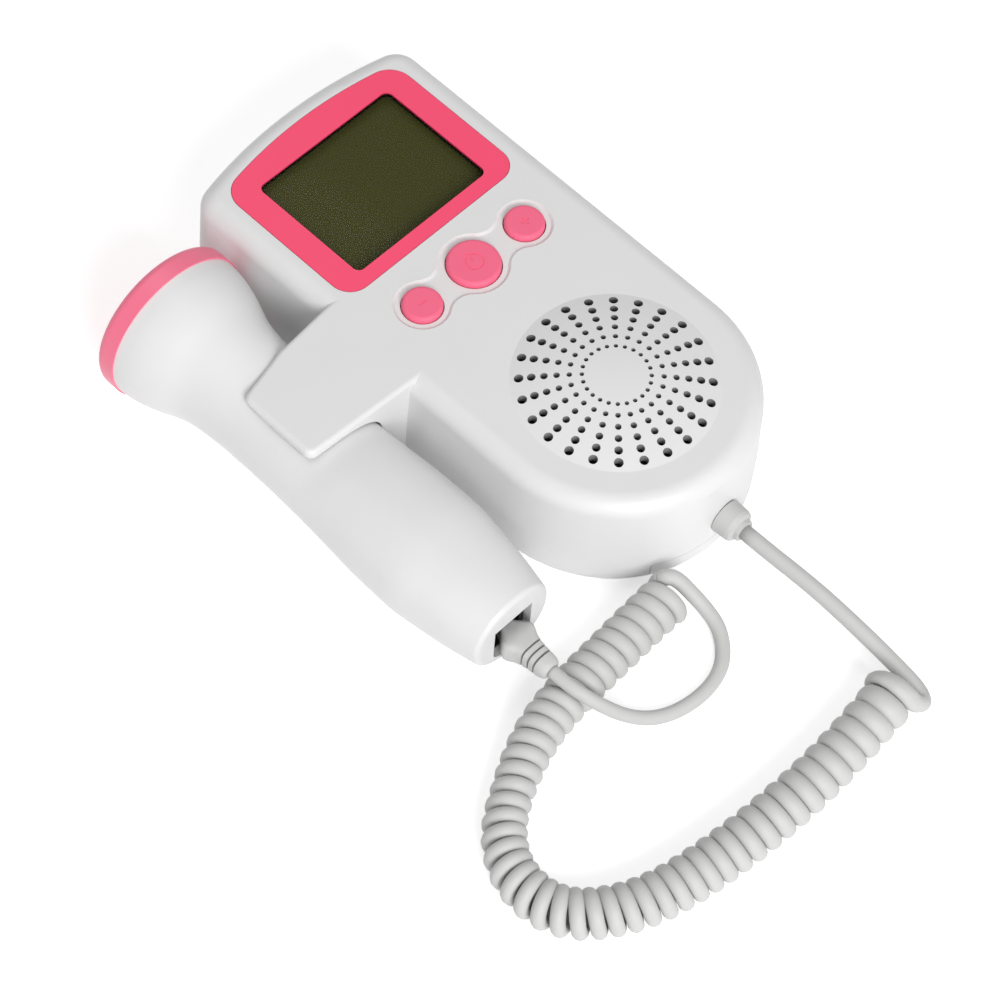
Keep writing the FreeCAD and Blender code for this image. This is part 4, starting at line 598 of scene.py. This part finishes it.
@dataclass
class CurlyCord:
    """The cord: a plain lead, a wound coil, and a plain loop up to the plug.

    Pitches, widths, radii and leans are pairs of a place along the coil's middle
    line and a value, both in millimetres.
    """

    lead_route: tuple[Point, ...] = (
        (1.4, -39.45, 13.0), (1.4, -45.2, 13.0), (1.9, -52.6, 12.5), (2.7, -61.0, 11.2),
        (3.2, -69.4, 9.4), (3.8, -77.4, 7.1), (4.2, -84.0, 4.9), (4.2, -88.9, 3.7),
        (2.9, -92.3, 3.7), (0.9, -93.0, 5.0))
    coil_route: tuple[Point, ...] = (
        (-1.4, -87.2, 6.2), (-10.4, -88.1, 5.9), (-20.5, -88.9, 5.6), (-31.2, -89.3, 5.4),
        (-40.6, -89.0, 5.2), (-49.6, -88.5, 5.2), (-57.8, -87.6, 5.2), (-65.4, -86.5, 5.2),
        (-72.6, -84.9, 5.2), (-79.4, -82.3, 5.2), (-85.3, -78.7, 5.2), (-89.6, -74.6, 5.2),
        (-91.9, -69.8, 5.2), (-92.3, -64.2, 5.2), (-91.1, -58.7, 5.2), (-88.1, -53.8, 5.2),
        (-83.7, -49.6, 5.2), (-77.9, -46.2, 5.2), (-72.3, -43.4, 5.2), (-67.1, -41.3, 5.2),
        (-61.5, -39.7, 5.2), (-54.5, -38.6, 5.2), (-46.8, -38.0, 5.2), (-38.4, -37.7, 5.2),
        (-30.8, -37.3, 5.2), (-24.0, -37.1, 5.2), (-19.4, -36.9, 5.2))
    loop_route: tuple[Point, ...] = (
        (-54.3, -34.4, 13.4), (-54.3, -38.6, 13.4), (-53.3, -42.6, 12.4),
        (-50.9, -46.6, 9.4), (-47.4, -50.2, 5.4), (-43.0, -53.4, 2.5),
        (-38.3, -55.7, 1.7), (-33.0, -57.0, 1.7), (-27.3, -57.1, 1.7),
        (-21.9, -55.6, 1.7), (-17.9, -52.4, 1.9), (-15.2, -48.3, 2.8),
        (-14.7, -43.3, 4.5), (-15.4, -39.7, 6.9), (-16.1, -37.2, 9.0),
        (-17.0, -35.4, 10.1))
    wire_mm: float = 3.5
    lead_mm: float = 3.7
    loop_ends_mm: tuple[float, float] = (3.1, 3.7)
    # The coil's middle stands this much higher than its radius, clear of the floor.
    rest_mm: float = 0.3
    turns: int = 48
    lead_in_turns: float = 0.25
    # The last turn stops this much early, and the loop takes over from it.
    short_by_turns: float = 0.125
    # One point of the loop lies this far straight on from the last turn.
    onward_mm: float = 0.9
    points_per_turn: int = 16
    rings_per_point: int = 3
    loop_rings_per_point: int = 10
    first_top_mm: float = 0.1
    last_mm: float = 187.6
    pitches: tuple[tuple[float, float], ...] = (
        (0.0, 5.1), (14.0, 4.7), (30.0, 4.4), (45.0, 4.15), (56.0, 3.85), (75.0, 3.65),
        (95.0, 3.5), (112.0, 3.65), (125.0, 3.8), (140.0, 3.75), (148.0, 3.65),
        (160.0, 3.8), (180.0, 3.9), (190.0, 4.2))
    turn_widths: tuple[tuple[float, float], ...] = (
        (-1.2, 4.4), (0.5, 5.8), (7.0, 5.0), (14.0, 4.7), (30.0, 4.4), (45.0, 4.05),
        (60.0, 3.7), (100.0, 3.4), (125.0, 3.6), (160.0, 3.75), (190.0, 4.1))
    outer_radii: tuple[tuple[float, float], ...] = (
        (0.0, 6.1), (16.0, 5.9), (60.0, 5.8), (95.0, 5.6), (112.0, 5.1), (126.0, 4.85),
        (140.0, 5.4), (150.0, 5.65), (170.0, 5.8), (190.0, 6.0))

    # Where the coil is pulled, its turns lean over like dominoes.
    leans: tuple[tuple[float, float], ...] = (
        (0.0, 1.8), (55.0, 1.6), (75.0, 0.7), (95.0, 0.0))

    def places(self) -> list[float]:
        """Spreads the helix's points so that each turn has its own pitch.

        Returns:
            The place of each point along the middle line, in millimetres.
        """
        places = [self.first_top_mm - self.lead_in_turns * self.pitches[0][1]]
        steps = round((self.turns + self.lead_in_turns - self.short_by_turns)
                      * self.points_per_turn)
        for _ in range(steps):
            places.append(places[-1] + stepped(self.pitches, places[-1])
                          / self.points_per_turn)
        stretch = (self.last_mm - places[0]) / (places[-1] - places[0])
        log.info("the coil's pitches are stretched %.4f times", stretch)
        return [places[0] + (place - places[0]) * stretch for place in places]

    def helix(self, places: Sequence[float]) -> list[Vector]:
        """Works out the coil's points.

        Args:
            places: The place of each point along the middle line, in millimetres.

        Returns:
            The middle of the jacket at each place, in metres.
        """
        middle = Line(smooth_route(millimetres(self.coil_route)))
        up = Vector((0.0, 0.0, 1.0))
        points = []
        for index, place in enumerate(places):
            angle = 2.0 * math.pi * (index / self.points_per_turn - self.lead_in_turns)
            outer = stepped(self.outer_radii, place)
            radius = (outer - self.wire_mm / 2.0) / math.cos(math.pi / self.points_per_turn)
            centre = middle.at(place * MM)
            centre.z = max(centre.z, (outer + self.rest_mm) * MM)
            along = middle.direction(place * MM)
            side = along.cross(up).normalized()
            lean = stepped(self.leans, place) * (math.cos(angle) - math.sin(angle)) / 2.0
            points.append(centre + along * lean * MM
                          + (up * math.cos(angle) + side * math.sin(angle)) * radius * MM)
        return points

    def build(self) -> None:
        places = self.places()
        turns = self.helix(places)
        lead = millimetres(self.lead_route)
        radii = [self.lead_mm / 2.0 * MM] * len(lead) + [self.wire_mm / 2.0 * MM] * len(turns)
        widths = [1.0] * len(lead) + [stepped(self.turn_widths, place) / self.wire_mm
                                      for place in places]
        curly, line = tube("curly_cord", lead + turns, radii, self.rings_per_point,
                           self.rings_per_point * self.points_per_turn,
                           self.rings_per_point * len(lead), widths)
        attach(curly, "unit")
        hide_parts("cord_lead", "cord_coil")
        length = Line(line).length
        log.info("curly_cord: %.3f m in %d turns", length, self.turns)
        self.build_loop(turns)

    def build_loop(self, turns: Sequence[Vector]) -> None:
        """Builds the loop from the coil's end to the plug's boot.

        Args:
            turns: The coil's points, of which the last two give the loop's start.
        """
        onward = (turns[-1] - turns[-2]).normalized() * self.onward_mm * MM
        route = millimetres(self.loop_route) + [turns[-1] + onward, turns[-1]]
        thin, thick = self.loop_ends_mm
        radii = [(thin + (thick - thin) * number / (len(route) - 1)) / 2.0 * MM
                 for number in range(len(route))]
        loop, line = tube("plug_loop", route, radii, self.loop_rings_per_point)
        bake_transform(loop)
        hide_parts("cord_loop")
        Line(line).length
        log.info("plug_loop: %.3f m", Line(line).length)


@dataclass
class Studio:
    """The camera, the lamps, the pale floor and the white room."""

    place: Point = (-344.03, -259.15, 668.14)
    right: Point = (0.6993, -0.7133, 0.0477)
    up: Point = (0.5891, 0.6128, 0.5267)
    lens_mm: float = 126.48
    floor_m: float = 12.0

    def build(self) -> None:
        """Sets up everything that isn't part of the object."""
        self.camera()
        self.floor()
        self.lamps()
        self.world()
        bpy.context.scene.view_settings.view_transform = "Standard"

    def camera(self) -> None:
        """Makes the scene's camera."""
        data = bpy.data.cameras.new("camera")
        data.lens = self.lens_mm
        data.sensor_width = 36.0
        data.clip_start, data.clip_end = 0.01, 50.0
        camera = bpy.data.objects.new("camera", data)
        right, up = Vector(self.right), Vector(self.up)
        back = right.cross(up)
        turn = Matrix((right, up, back)).transposed().to_4x4()
        camera.matrix_world = Matrix.Translation(Vector(self.place) * MM) @ turn
        bpy.context.scene.collection.objects.link(camera)
        bpy.context.scene.camera = camera

    def floor(self) -> None:
        """Makes the floor, which the camera sees as white apart from shadow."""
        shape = bmesh.new()
        bmesh.ops.create_grid(shape, x_segments=1, y_segments=1, size=self.floor_m / 2)
        mesh = bpy.data.meshes.new("floor")
        shape.to_mesh(mesh)
        shape.free()
        floor = bpy.data.objects.new("floor", mesh)
        bpy.context.scene.collection.objects.link(floor)
        finish = bpy.data.materials.new("floor_paper")
        finish.use_nodes = True
        tree = finish.node_tree
        tree.nodes.clear()
        paper = add_node(tree, "ShaderNodeBsdfDiffuse", {"Color": linear("#F4F4F4")})
        glow = add_node(tree, "ShaderNodeEmission", {"Strength": 0.5})
        rays = add_node(tree, "ShaderNodeLightPath")
        seen = add_node(tree, "ShaderNodeMath", {"operation": "MAXIMUM"},
                        {0: rays.outputs["Is Camera Ray"], 1: rays.outputs["Is Glossy Ray"]})
        none = add_node(tree, "ShaderNodeEmission", {"Strength": 0.0})
        pick = add_node(tree, "ShaderNodeMixShader", {},
                        {0: seen.outputs[0], 1: none.outputs[0], 2: glow.outputs[0]})
        both = add_node(tree, "ShaderNodeAddShader", {},
                        {0: paper.outputs[0], 1: pick.outputs[0]})
        add_node(tree, "ShaderNodeOutputMaterial", links={"Surface": both.outputs[0]})
        mesh.materials.append(finish)

    def lamps(self) -> None:
        """Hangs soft boxes round the object."""
        for name, at, size, power in (("key", (-0.5, -1.05, 0.85), 0.8, 14.2),
                                      ("fill", (-0.7, -1.0, 0.33), 0.7, 1.6),
                                      ("top", (0.1, 0.5, 1.3), 1.1, 3.2)):
            data = bpy.data.lights.new(name, "AREA")
            data.shape = "DISK"
            data.size = size
            data.energy = power
            lamp = bpy.data.objects.new(name, data)
            lamp.location = at
            lamp.rotation_mode = "QUATERNION"
            lamp.rotation_quaternion = (-Vector(at)).to_track_quat("-Z", "Y")
            bpy.context.scene.collection.objects.link(lamp)

    def world(self) -> None:
        """Fills the room with even light, white to the camera."""
        world = bpy.data.worlds.new("white_room")
        bpy.context.scene.world = world
        world.use_nodes = True
        tree = world.node_tree
        tree.nodes.clear()
        rays = add_node(tree, "ShaderNodeLightPath")
        soft = add_node(tree, "ShaderNodeBackground",
                        {"Color": linear("#FFFFFF"), "Strength": 0.35})
        white = add_node(tree, "ShaderNodeBackground",
                         {"Color": linear("#FFFFFF"), "Strength": 1.0})
        seen = add_node(tree, "ShaderNodeMath", {"operation": "MAXIMUM"},
                        {0: rays.outputs["Is Camera Ray"],
                         1: rays.outputs["Is Transmission Ray"]})
        any_seen = add_node(tree, "ShaderNodeMath", {"operation": "MAXIMUM"},
                            {0: seen.outputs[0], 1: rays.outputs["Is Glossy Ray"]})
        pick = add_node(tree, "ShaderNodeMixShader", {},
                        {0: any_seen.outputs[0], 1: soft.outputs[0],
                         2: white.outputs[0]})
        add_node(tree, "ShaderNodeOutputWorld", links={"Surface": pick.outputs[0]})


def dress_nodes() -> None:
    """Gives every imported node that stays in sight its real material."""
    for name, finish in NODE_FINISHES.items():
        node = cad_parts[name]
        material = finish.material()
        for slot in node.material_slots:
            slot.material = material
        log.info("dressed %s in %s", name, finish.name)


def main() -> None:
    """Builds the visible model in order."""
    logging.basicConfig(level=logging.INFO, format="%(name)s: %(message)s")
    Studio().build()
    dress_nodes()
    CurlyCord().build()


if __name__ == "__main__":
    main()
